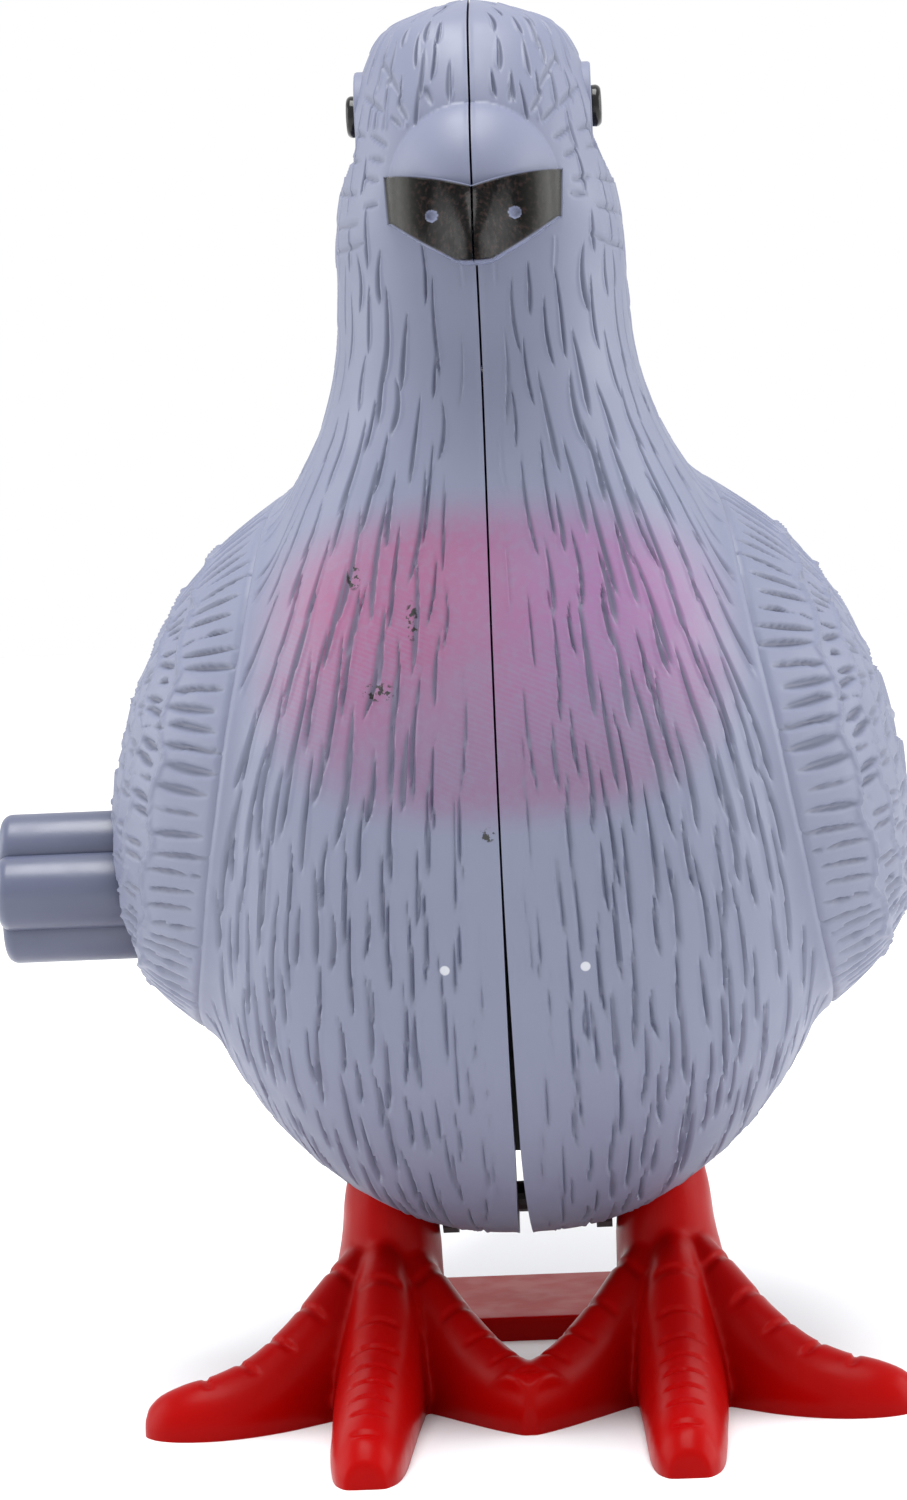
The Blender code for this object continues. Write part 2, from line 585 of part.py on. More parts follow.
def motor_housing(material):
    inner = MOTOR_HALF - PLATE
    wall_end = inner - FIT
    tray = make_object("motor_tray", prism(plate_outline(), (-MOTOR_HALF, -inner)))
    lap = -inner - 0.5
    walls = (((lap, MOTOR_FRONT, MOTOR_BOTTOM), (wall_end, MOTOR_FRONT + PLATE, MOTOR_TOP - 1.5)),
             ((lap, MOTOR_BACK - PLATE, MOTOR_BOTTOM), (wall_end, MOTOR_BACK, MOTOR_TOP - 1.5)))
    for low, high in walls:
        combine(tray, make_object("wall", box(low, high)), "UNION")
    for centre in MOTOR_BOSSES:
        combine(tray, rod((lap, wall_end), centre, MOTOR_BOSS_RADIUS, 14), "UNION")
        combine(tray, rod((-0.5, wall_end + 1), centre, MOTOR_SCREW_RADIUS + FIT, 12))
    bearing_holes(tray)
    finish(tray, material)
    cover = make_object("motor_cover", prism(plate_outline(), (inner, MOTOR_HALF)))
    for centre in MOTOR_BOSSES:
        combine(cover, rod((0, 20), centre, MOTOR_SCREW_RADIUS + FIT, 12))
    bearing_holes(cover)
    finish(cover, material)


def motor_screws(material):
    for number, centre in enumerate(MOTOR_BOSSES, 1):
        screw(f"motor_screw_{number}", centre, MOTOR_HALF + FIT, 0.4, MOTOR_SCREW_RADIUS, 1.1, material, 10)


def winding_knob(material):
    """Four-lobed knob with softened ends, hollow where the shaft is pressed in."""
    x_low, x_high = KNOB_X

    def ring(x, shrink):
        angles = np.arange(48) * math.tau / 48
        lobe = np.abs(np.cos(KNOB_LOBES * angles / 2)) ** 0.9
        radii = KNOB_GROOVE + (KNOB_LOBE - KNOB_GROOVE) * lobe - shrink
        return [(x, r * math.cos(a), r * math.sin(a)) for a, r in zip(angles, radii)]

    rings = [ring(x_low, KNOB_EDGE), ring(x_low + 0.25, 0.35), ring(x_low + KNOB_EDGE, 0.0),
             ring(x_high - 0.5, 0.0), ring(x_high, 0.4)]
    knob = make_object("winding_knob", loft(rings), (0, *WIND_AXIS))
    combine(knob, rod((x_low + 2.0, x_high + 1), WIND_AXIS, WIND_SHAFT_RADIUS + FIT, 16))
    finish(knob, material, 40)


def crank_discs(material):
    """A disc with an eccentric pin on each end of the crank arbor."""
    lever = Vector((CRANK_AXIS[0] - FOOT_AXIS[0], CRANK_AXIS[1] - FOOT_AXIS[1])).normalized()
    pin = (CRANK_AXIS[0] + CRANK_THROW * lever.x, CRANK_AXIS[1] + CRANK_THROW * lever.y)
    for side, name in ((-1, "crank_disc_right"), (1, "crank_disc_left")):
        inner, outer = side * CRANK_DISC_X[0], side * CRANK_DISC_X[1]
        disc = make_object(name, turned([(inner, CRANK_DISC_RADIUS), (outer, CRANK_DISC_RADIUS)], 20),
                           (0, *CRANK_AXIS))
        combine(disc, rod(sorted((outer - side * 0.3, side * CRANK_PIN_END)), pin, CRANK_PIN_RADIUS, 12),
                "UNION")
        combine(disc, rod(sorted((side * 3.0, outer - side * 0.0001)), CRANK_AXIS, ARBOR_RADIUS + 0.3, 12))
        finish(disc, material)


# --- feet ------------------------------------------------------------------------------------------------
def toe(stations, side):
    """A toe with a flat sole and a rounded back, lofted along the ground."""
    path = np.array([(side * x, y) for x, y, _, _ in stations])
    heading = np.gradient(path, axis=0)
    heading /= np.linalg.norm(heading, axis=1, keepdims=True)
    rings = []
    for (x, y), (dx, dy), (_, _, half, height) in zip(path, heading, stations):
        arch = [math.pi * i / (TOE_ARCH_POINTS - 1) for i in range(TOE_ARCH_POINTS)]
        ring = [(half * 0.8, -SOLE_TRIM)]
        ring += [(half * math.cos(a), 0.28 * height + 0.72 * height * math.sin(a)) for a in arch]
        ring += [(-half * 0.8, -SOLE_TRIM)]
        rings.append([(x - dy * u, y + dx * u, v) for u, v in ring])
    return make_object("toe", loft(rings))


def leg(side):
    rings = [[(side * x + rx * a, y + ry * b, z) for a, b in circle(1.0, 12)] for x, y, z, rx, ry in LEG]
    return make_object("leg", loft(rings))


def drive_lever(side):
    """Arm from the pivot eye up to a round window that surrounds the crank pin."""
    x_range = sorted((side * LEVER_X[0], side * LEVER_X[1]))
    foot = Vector(FOOT_AXIS)
    reach = Vector(CRANK_AXIS) - foot
    across = Vector((-reach.y, reach.x)).normalized() * LEVER_BAR_HALF
    end = foot + reach
    bar = [tuple(foot + across), tuple(foot - across), tuple(end - across), tuple(end + across)]
    lever = make_object("lever", prism(bar, x_range))
    ring_x = (x_range[0] + 0.1, x_range[1] - 0.1)
    combine(lever, rod(ring_x, CRANK_AXIS, LEVER_RING, 24), "UNION")
    return combine(lever, rod((-20, 20), CRANK_AXIS, LEVER_HOLE, 20))


def foot_frame(material):
    """Both legs, eight toes, the plate between the heels and the drive levers, in one moulded piece."""
    feet = make_object("foot_frame", box(*REAR_PLATE))
    for side in (-1, 1):
        for stations in (HEEL_TOE, MIDDLE_TOE, OUTER_TOE, INNER_TOE):
            combine(feet, toe(stations, side), "UNION")
        combine(feet, leg(side), "UNION")
        combine(feet, drive_lever(side), "UNION")
    combine(feet, make_object("ground", box((-60, -60, -10), (60, 60, 0))))
    combine(feet, rod((-20, 20), FOOT_AXIS, FOOT_AXLE_RADIUS + FIT, 16))
    feet.data.transform(Matrix.Translation(-Vector((0, *FOOT_AXIS)) * MM))
    feet.location = Vector((0, *FOOT_AXIS)) * MM
    finish(feet, material, 40)


def foot_axle(material):
    profile = [(-FOOT_AXLE_END, FOOT_AXLE_RADIUS), (FOOT_AXLE_END, FOOT_AXLE_RADIUS)]
    finish(make_object("foot_axle", turned(profile, 16), (0, *FOOT_AXIS)), material)


def build():
    clear_scene()
    slate = plastic("slate_plastic", SLATE, 0.42)
    motor = plastic("motor_plastic", MOTOR_BLACK, 0.4)
    gears = plastic("gear_plastic", GEAR_WHITE, 0.5)
    steel = plastic("steel", STEEL, 0.32, 1.0)
    body_shells(slate)
    eyes(plastic("bead_plastic", BEAD_BLACK, 0.12))
    shell_screws(steel)
    motor_housing(motor)
    motor_screws(steel)
    gear_train(gears)
    flywheel(steel)
    arbors(steel)
    mainspring(plastic("spring_steel", SPRING_BLUE, 0.35, 1.0))
    winding_knob(plastic("knob_plastic", KNOB_SLATE, 0.38))
    crank_discs(motor)
    foot_frame(plastic("foot_plastic", FOOT_RED, 0.3))
    foot_axle(motor)


build()
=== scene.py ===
"""Looks of the wind-up hopping pigeon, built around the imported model.

Lengths are in millimetres until a mesh is made, and MM turns them into Blender's metres.  The bird looks
along -Y, its left side is +X and the ground is at z = 0.
"""
import json
import math

import bmesh
import bpy
import numpy as np
from mathutils import Matrix
from mathutils import Vector


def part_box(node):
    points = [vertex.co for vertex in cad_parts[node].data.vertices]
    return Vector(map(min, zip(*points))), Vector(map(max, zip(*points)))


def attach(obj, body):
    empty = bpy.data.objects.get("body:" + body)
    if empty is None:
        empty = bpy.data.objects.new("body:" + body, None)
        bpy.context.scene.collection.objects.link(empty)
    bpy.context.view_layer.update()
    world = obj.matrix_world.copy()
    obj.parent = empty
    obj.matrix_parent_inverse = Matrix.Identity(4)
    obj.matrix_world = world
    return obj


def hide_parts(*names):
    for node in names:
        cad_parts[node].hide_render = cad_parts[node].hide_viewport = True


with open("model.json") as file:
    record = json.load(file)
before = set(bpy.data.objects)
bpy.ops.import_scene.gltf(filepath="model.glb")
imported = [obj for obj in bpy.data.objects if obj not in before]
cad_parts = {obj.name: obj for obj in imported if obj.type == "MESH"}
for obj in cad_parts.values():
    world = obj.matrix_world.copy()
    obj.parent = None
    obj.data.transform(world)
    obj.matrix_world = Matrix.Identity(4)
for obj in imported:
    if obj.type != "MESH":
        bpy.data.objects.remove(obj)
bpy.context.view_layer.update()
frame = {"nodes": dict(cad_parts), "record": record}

MM = 0.001


# --- places read from the frame --------------------------------------------------------------------------
def node_box(name):
    """Lowest and highest corner of a CAD node, in millimetres."""
    low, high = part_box(name)
    return np.array(low) / MM, np.array(high) / MM


def joint_place(name):
    """A joint's y and z, in millimetres."""
    for joint in frame["record"]["behaviour"]["joints"]:
        if joint["name"] == name:
            return joint["pos_m"][1] / MM, joint["pos_m"][2] / MM
    raise KeyError(name)


WIND_Y, WIND_Z = joint_place("winding_turn")
FOOT_Y, FOOT_Z = joint_place("feet_rock")
CRANK_Y, CRANK_Z = joint_place("crank_turn")
KNOB_LOW, KNOB_HIGH = node_box("winding_knob")
EYE_LOW, EYE_HIGH = node_box("eye_left")
EYE_Y, EYE_Z = (EYE_LOW[1] + EYE_HIGH[1]) / 2, (EYE_LOW[2] + EYE_HIGH[2]) / 2

# --- the body's form -------------------------------------------------------------------------------------
# front y, front z, back y, back z, half width of slanted oval sections from the crown to the tail, as in the
# CAD model
SECTIONS = (
    (3.0, 87.2, 3.0, 87.2, 0.0),
    (-0.6, 86.4, 6.6, 86.3, 2.8),
    (-3.8, 84.6, 9.4, 84.3, 5.5),
    (-6.2, 81.5, 11.2, 80.9, 6.7),
    (-7.4, 77.8, 12.2, 76.8, 7.7),
    (-7.4, 73.8, 12.9, 72.4, 8.6),
    (-6.6, 69.6, 13.8, 68.2, 8.8),
    (-6.2, 65.4, 15.4, 64.4, 9.2),
    (-6.9, 60.8, 18.0, 60.9, 10.5),
    (-8.8, 55.0, 22.0, 57.6, 13.2),
    (-11.0, 48.0, 27.0, 54.4, 16.3),
    (-12.0, 39.5, 32.5, 51.2, 19.5),
    (-10.6, 30.0, 38.0, 48.2, 21.6),
    (-6.0, 20.6, 43.5, 45.4, 21.9),
    (2.0, 12.6, 49.0, 42.8, 19.2),
    (13.0, 9.6, 54.4, 40.4, 14.8),
    (27.0, 12.0, 60.0, 38.4, 14.0),
    (41.0, 18.6, 66.0, 36.6, 12.4),
    (54.5, 24.6, 72.0, 34.9, 10.8),
    (67.5, 28.8, 78.0, 33.2, 10.6),
    (79.5, 30.4, 83.0, 32.2, 10.2),
)
SECTION_POWER = 2.25
ROW_SPANS = ((0.02, 8.0, 0.40), (8.0, 15.0, 0.38), (15.0, 20.0, 0.22))   # section range, share of the rows
ROWS = 520
COLUMNS = 370
FRONT_SHARE = 0.64            # share of the columns on the front half of each section
INNER_COLUMNS = 16
WALL = 1.3
CAVITY_FIRST = 0.9
CAVITY_LAST = 17.2

# y, z; the front edge stands up to 1.2 mm further forward than the CAD model's
WING_OUTLINE = (
    (12, 57.5), (4.4, 55.5), (-0.7, 51.5), (-3.6, 44.5), (-3.2, 36.5), (0.8, 29.1), (7.3, 24.9), (16, 23.3),
    (30, 24.7), (48, 28.5), (64, 32.2), (72, 33.4), (66, 36.2), (54, 42), (41, 49), (29, 54.5), (20, 57.5),
)
LEADING_POINTS = 9            # the outline's points from the shoulder to the lower edge
WING_HEIGHT = 3.0
WING_RISE = 8.0
WING_TIP = (80.0, 31.5)       # y, z that the flight feathers run towards

BELLY_OPENING = ((-12.5, 9.9, -5.0), (12.5, 31.5, 16.3))


def smooth_step(value, low, high):
    share = np.clip((value - low) / (high - low), 0, 1)
    return share * share * (3 - 2 * share)


def catmull_rom(points, t, closed=False):
    """Smooth curve through points at parameters t, counted in points."""
    points = np.asarray(points, float)
    if closed:
        padded = np.vstack([points[-1:], points, points[:2]])
        last = len(points)
    else:
        padded = np.vstack([2 * points[0] - points[1], points, 2 * points[-1] - points[-2]])
        last = len(points) - 1
    t = np.clip(t, 0, last - 1e-9)
    i = t.astype(int)
    f = (t - i)[:, None]
    a, b, c, d = padded[i], padded[i + 1], padded[i + 2], padded[i + 3]
    square = (2 * a - 5 * b + 4 * c - d) * f ** 2
    cube = (3 * b - a - 3 * c + d) * f ** 3
    return 0.5 * (2 * b + (c - a) * f + square + cube)


def distance_to_path(y, z, path):
    """Distance from points to a polyline, and how far along the polyline the nearest place is."""
    best = np.full(y.shape, 1e9)
    travel = np.zeros(y.shape)
    run = 0.0
    for (y0, z0), (y1, z1) in zip(path, path[1:]):
        length = math.hypot(y1 - y0, z1 - z0)
        along = np.clip(((y - y0) * (y1 - y0) + (z - z0) * (z1 - z0)) / max(length, 1e-9) ** 2, 0, 1)
        gap = np.hypot(y - y0 - along * (y1 - y0), z - z0 - along * (z1 - z0))
        closer = gap < best
        best = np.where(closer, gap, best)
        travel = np.where(closer, run + along * length, travel)
        run += length
    return best, travel


def inside_outline(y, z, outline):
    inside = np.zeros(y.shape, bool)
    for (y0, z0), (y1, z1) in zip(outline, np.roll(outline, -1, axis=0)):
        if z0 != z1:
            crossing = (y1 - y0) * (z - z0) / (z1 - z0) + y0
            inside ^= ((z0 > z) != (z1 > z)) & (y < crossing)
    return inside


def wing_fields(y, z):
    """Depth inside the wing's outline (negative outside), depth from its leading edge, travel along it."""
    outline = catmull_rom(WING_OUTLINE, np.arange(0, len(WING_OUTLINE), 0.25), closed=True)
    rim, _ = distance_to_path(y, z, np.vstack([outline, outline[:1]]))
    inside = inside_outline(y, z, outline)
    lead, travel = distance_to_path(y, z, outline[:(LEADING_POINTS - 1) * 4 + 1])
    return np.where(inside, rim, -rim), lead, travel


def wing_thickness(rim):
    return WING_HEIGHT * (1 - (1 - np.clip(rim / WING_RISE, 0, 1)) ** 2.4) * (rim > 0)


def body_grid(t, angles):
    """Points of the left half of the body, wings left off."""
    sections = catmull_rom(SECTIONS, t)
    front, back, half_width = sections[:, 0:2], sections[:, 2:4], np.maximum(sections[:, 4], 0)
    middle, reach = (front + back) / 2, (front - back) / 2
    cosine, sine = np.cos(angles), np.sin(angles)
    power = 2 / SECTION_POWER
    along = np.sign(cosine) * np.abs(cosine) ** power
    x = half_width[:, None] * np.abs(sine) ** power
    y = middle[:, 0:1] + reach[:, 0:1] * along
    z = middle[:, 1:2] + reach[:, 1:2] * along
    return np.stack([x, y, z], axis=-1)


def grid_normals(points):
    """Outward normals of a grid that runs from the crown to the tail and from front to back."""
    down = np.gradient(points, axis=0)
    around = np.gradient(points, axis=1)
    normal = np.cross(around, down)
    normal /= np.maximum(np.linalg.norm(normal, axis=-1, keepdims=True), 1e-9)
    middle = points.mean(axis=1, keepdims=True) * (0, 1, 1)
    flip = np.sign(((points - middle) * normal).sum(axis=-1).mean())
    return normal * flip


# --- relief of the feathers ------------------------------------------------------------------------------
CERE = (74.9, 5.0, 4.9, 1.0)  # z of the smooth swelling above the beak, its half width, and reach up and down
CERE_DEPTH = 2.5
CROWN_DROP = 0.45             # how much lower the crown is than the CAD model's
BELLY_RAISE = 0.25            # how much higher the belly's edge is than the CAD model's
BELLY_RANGE = (20.0, 11.0)    # z over which the raise comes in
EYE_SWELL = 0.45              # how far the head stands out around the eye pads
EYE_PAD_RADIUS = 2.65
EYE_PAD_FACE = 7.08           # x of the flat pad around each eye
STROKE_ROW = 3.0              # spacing of the rows of feather strokes down the body
STROKE_SPACING = 2.2          # spacing of the strokes within a row
STROKE_LENGTH = 6.0
STROKE_WIDTH = 0.46
STROKE_LIP = 0.07
STROKE_DEPTH = 0.30
NECK_Z = 58                   # above these heights the strokes are shorter
HEAD_Z = 68
BROW_RANGE = (78.6, 79.6)     # z over which the long strokes give way to the brow's short ones
BROW_ROW = 2.1
BROW_SPACING = 1.4
BROW_SCALE = 0.45
PAD_CLEARING = (2.9, 3.3)     # distance from the eye's middle over which the strokes begin
TAIL_START = 60.0             # y at which the tail feathers begin
FULL_GROOVE = 0.12            # depth that the colouring counts as a full groove


def groove_profile(across):
    """Depth of a cut across its width, from -1 to 1: a steep wall, then a ramp back up."""
    steep = smooth_step(across, -1.0, -0.55)
    ramp = 1 - smooth_step(across, -0.2, 1.0)
    return steep * ramp


def stroke(relief, run, girth, row, column, length, width, depth, bend, slant):
    """Cut one thin stroke into the relief, with a raised lip on the side of the parting line."""
    rows, columns = relief.shape
    pitch_down = max(abs(run[min(row + 1, rows - 1), column] - run[row, column]), 0.02)
    pitch_round = max(abs(girth[row, min(column + 1, columns - 1)] - girth[row, column]), 0.02)
    reach_down = int(length / 2 / pitch_down) + 2
    reach_round = int((width * 2.0 + abs(bend) + abs(slant) * length) / pitch_round) + 3
    r0, r1 = max(row - reach_down, 0), min(row + reach_down + 1, rows)
    c0, c1 = max(column - reach_round, 0), min(column + reach_round + 1, columns)
    along = (run[r0:r1, c0:c1] - run[row, c0:c1]) / (length / 2)
    across = girth[r0:r1, c0:c1] - girth[r0:r1, column:column + 1]
    across = across - bend * (along ** 2 - 0.3) - slant * along * length / 2
    taper = np.sqrt(np.clip(1 - along ** 2, 0, 1))
    taper = np.minimum(taper * 1.25, 1) * (0.55 + 0.45 * smooth_step(along, -1, 0.4))
    half = np.maximum(width / 2 * taper, 0.08)
    cut = groove_profile(across / half) * taper * depth
    lip = np.exp(-((across / half + 1.35) / 0.55) ** 2) * taper * STROKE_LIP
    shape = np.where(np.abs(along) < 1, cut - lip, 0)
    patch = relief[r0:r1, c0:c1]
    relief[r0:r1, c0:c1] = np.where(np.abs(shape) > np.abs(patch), shape, patch)


def stroke_share(height, scale):
    """Share of the full length that a stroke has at a height; the brow's small strokes don't change."""
    if scale < 1 or height <= NECK_Z:
        return 1.0
    return 0.5 if height > HEAD_Z else 0.75


def body_strokes(points, run, girth, where, rng, row_pitch=STROKE_ROW, spacing=STROKE_SPACING, scale=1.0):
    """Staggered feather strokes over the body; where is the share of full depth at each grid point."""
    relief = np.zeros(points.shape[:2])
    total = run[-1].max()
    for number in range(int(total / row_pitch)):
        level = (number + 0.5) * row_pitch
        rows = np.abs(run - level).argmin(axis=0)
        widest = girth[rows, np.arange(len(rows))]
        count = int(widest.max() / spacing)
        for place in range(count + 1):
            target = (place + 0.5 * (number % 2) + 0.2 + 0.5 * rng.random()) * spacing
            column = int(np.abs(widest - target).argmin())
            row = int(np.clip(rows[column] + rng.integers(-4, 5), 0, len(points) - 1))
            size = 0.6 + 0.8 * rng.random()
            bend, slant = 0.6 * scale * (rng.random() - 0.5), 0.12 * (rng.random() - 0.5)
            share = where[row, column]
            length = STROKE_LENGTH * scale * size * stroke_share(points[row, column, 2], scale)
            from_seam = smooth_step(girth[row, column], 0.5, 7.0) if scale == 1 else 0.6
            width = STROKE_WIDTH * (0.8 + 0.5 * rng.random()) * (0.55 + 0.45 * from_seam)
            depth = STROKE_DEPTH * share * (0.5 + 0.5 * from_seam)
            if share > 0.15:
                stroke(relief, run, girth, row, column, length, width, depth, bend, slant)
    return relief * (where > 0.02)


def face_strokes(points, facing, rng):
    """Short uneven strokes that fan out around the swelling above the beak."""
    relief = np.zeros(points.shape[:2])
    centre_z, half_width, half_height, _ = CERE
    x, z = points[..., 0], points[..., 2]
    for start, size, count, low, high in ((0.4, 1.2, 7, -8, 62), (1.8, 2.1, 7, -26, 50)):
        for i in range(count):
            angle = math.radians(low + (high - low) * (i + 0.6 * rng.random()) / (count - 1))
            length = size * (0.7 + 0.7 * rng.random())
            radius = 1 / math.hypot(math.cos(angle) / half_width, math.sin(angle) / half_height)
            lean = angle + 0.35 * (rng.random() - 0.3)
            dx, dz = math.cos(lean), math.sin(lean)
            x0 = (radius + start + 0.4 * rng.random()) * math.cos(angle)
            z0 = centre_z + (radius + start) * math.sin(angle)
            along = ((x - x0) * dx + (z - z0) * dz) / length * 2 - 1
            across = (x - x0) * -dz + (z - z0) * dx
            taper = np.sqrt(np.clip(1 - along ** 2, 0, 1))
            cut = np.where(np.abs(along) < 1, groove_profile(across / (0.19 * taper + 0.07)) * taper, 0)
            relief = np.maximum(relief, 0.15 * cut * facing)
    return relief


WING_SECTIONS = (8.2, 18.2)   # range of the body's sections that a wing's grid covers
WING_ANGLES = (0.45, 2.95)
WING_GRID_ROWS = 520
WING_GRID_COLUMNS = 330
WING_FILLET = 0.5             # how far the shell swells up to meet a wing's rim
WING_SINK = 0.45              # how far a wing's rim dips under the shell's surface
# bands of barbs, by depth from the leading edge
BARB_ROWS = ((0.45, 3.3), (3.9, 5.7), (6.2, 8.1), (8.7, 11.2))
BARB_PITCH = 1.28
BARB_DEPTH = 0.36
SCALLOP = 6.2                 # length of one scallop along the leading edge
FLIGHT_FEATHER = math.radians(3.6)
FLIGHT_QUILL = 0.42           # place of the quill across a flight feather
HATCH_NARROWING = 3.2         # a fine barb's cut takes up 2 / 3.2 of its spacing
TAIL_FEATHER = 2.6            # width of a tail feather
WING_SLAB = 0.5               # thickness of a wing's slab
WING_SKIRT = 0.55             # how far a wing's slab runs on beyond its outline
KNOB_BOSS_RADIUS = 5.1        # round flat on the right wing behind the knob
KNOB_BOSS_X = 23.3
KNOB_BOSS_SINK = 0.3          # how far the wing lies below the flat's face


def wing_relief(y, z, rim, lead, travel):
    """Scalloped rows of barbed feathers behind the leading edge, then long flight feathers."""
    height = 0.45 * smooth_step(rim, 0.0, 0.5)
    cuts = np.zeros(y.shape)
    end = travel.max()
    beside = smooth_step(travel, 0.05, 1.5) * (1 - smooth_step(travel, end - 1.5, end - 0.05))
    for number, (low, high) in enumerate(BARB_ROWS):
        wave = 0.9 * np.abs(np.sin(math.pi * (travel / SCALLOP + 0.37 * number))) - 0.45
        depth = lead - wave * 0.75
        band = (depth - low) / (high - low)
        tilt = 0.30 * np.sin((travel - 8) / 9.0) + 0.20 * (number % 2) - 0.5 * smooth_step(travel, 22, 34)
        phase = (travel + tilt * (depth - low)) / BARB_PITCH + 0.3 * number
        across = ((phase + 0.5) % 1.0 - 0.5) * 2
        length = np.clip(np.sin(math.pi * np.clip(band, 0, 1)), 0, 1) ** 0.45
        jitter = 0.75 + 0.25 * np.sin(np.floor(phase + 0.5) * 12.9898)
        cut = groove_profile(across / np.maximum(0.62 * length * jitter, 0.05)) * length
        strength = (1.0 if number < 2 else 0.55) * beside
        cuts = np.maximum(cuts, np.where((band > 0) & (band < 1), cut, 0) * BARB_DEPTH * strength)
        ridge_at = high + 0.28
        height = height + 0.20 * strength * np.exp(-((depth - ridge_at) / 0.18) ** 2)
        height = height + 0.12 * beside * smooth_step(depth, low, ridge_at) * (depth < ridge_at)
    flight = np.maximum(smooth_step(lead, 11.5, 11.9), smooth_step(lead, 1.5, 3.0) * (1 - beside))
    fan = np.arctan2(z - WING_TIP[1], WING_TIP[0] - y)
    radius = np.hypot(z - WING_TIP[1], WING_TIP[0] - y)
    share = (fan / FLIGHT_FEATHER) % 1.0
    blade = 0.34 * share - 0.24 * np.exp(-((share - 0.02) * radius * FLIGHT_FEATHER / 0.2) ** 2)
    quill = 0.14 * np.exp(-((share - FLIGHT_QUILL) * radius * FLIGHT_FEATHER / 0.16) ** 2)
    barb = ((radius * 0.9 + np.abs(share - FLIGHT_QUILL) * radius * FLIGHT_FEATHER * 1.4) / 1.15) % 1.0
    off_quill = smooth_step(np.abs(share - FLIGHT_QUILL), 0.06, 0.14)
    hatch = groove_profile((barb - 0.5) * HATCH_NARROWING) * off_quill
    height = height + flight * (blade + quill - 0.15)
    cuts = np.maximum(cuts, 0.15 * hatch * flight * (1 - smooth_step(rim, 1.2, 0.4)))
    return height, cuts


def tail_relief(points, start):
    """Long tail feathers side by side, with quills and fine barbs."""
    x, y = points[..., 0], points[..., 1]
    amount = smooth_step(y, start, start + 4)
    share = (x / TAIL_FEATHER) % 1.0
    edge = np.exp(-(np.minimum(share, 1 - share) * TAIL_FEATHER / 0.16) ** 2)
    quill = np.exp(-((share - 0.5) * TAIL_FEATHER / 0.14) ** 2)
    barb = ((y + np.abs(share - 0.5) * 3.4) / 1.2) % 1.0
    hatch = groove_profile((barb - 0.5) * HATCH_NARROWING) * smooth_step(np.abs(share - 0.5), 0.08, 0.16)
    return amount * (0.12 * quill), amount * np.maximum(0.30 * edge, 0.13 * hatch)


BLUSH_HALF_WIDTH = 14.2
BLUSH_Z = 47.6
BLUSH_HALF_HEIGHT = 9.4
BLUSH_POWER = 2.6             # 2 would be an ellipse; more is squarer


def blush_amount(points):
    """Share of pink spray on the breast, over both shells, with soft edges."""
    x, y, z = points[..., 0], points[..., 1], points[..., 2]
    across = np.abs(x / BLUSH_HALF_WIDTH) ** BLUSH_POWER
    up = np.abs((z - BLUSH_Z) / BLUSH_HALF_HEIGHT) ** BLUSH_POWER
    reach = (across + up) ** (1 / BLUSH_POWER)
    return (1 - smooth_step(reach, 0.70 + 0.1 * (z < 47), 1.10)) * smooth_step(-y, -7.0, -1.0)


def parting_gap(z):
    """Width of the gap between the shells: a hair line that opens towards the belly."""
    return 0.13 + 0.22 * smooth_step(z, 36, 18) + 0.55 * smooth_step(z, 18, 9)


def body_rows():
    """Section parameters of the shell's rows, closer together where the relief is fine."""
    spans = [np.linspace(low, high, round(ROWS * share), endpoint=False) for low, high, share in ROW_SPANS]
    return np.concatenate(spans + [[len(SECTIONS) - 1.0]])


def body_angles(count):
    front = round(count * FRONT_SHARE)
    return np.concatenate([np.linspace(0, math.pi / 2, front, endpoint=False),
                           np.linspace(math.pi / 2, math.pi, count - front)])


def travelled(points, axis):
    """Distance travelled over a grid's surface along one of its axes."""
    steps = np.linalg.norm(np.diff(points, axis=axis), axis=-1)
    start = np.zeros_like(np.take(steps, [0], axis=axis))
    return np.concatenate([start, np.cumsum(steps, axis=axis)], axis=axis)


def open_parting(points):
    """Draw a half of the body back from the parting plane, so that the gap runs between the halves."""
    gap = parting_gap(points[..., 2]) / 2
    widest = np.maximum(points[..., 0].max(axis=1, keepdims=True), 0.4)
    points[..., 0] = gap + np.maximum(points[..., 0], 0) * (1 - gap / widest)
    return points


def cere_swell(x, z):
    """How far the smooth bulge above the beak stands forward, from 0 to 1."""
    centre_z, half_width, up, down = CERE
    height = np.where(z > centre_z, up, down)
    return np.clip(1 - (x / half_width) ** 2 - ((z - centre_z) / height) ** 2, 0, 1) ** 0.7


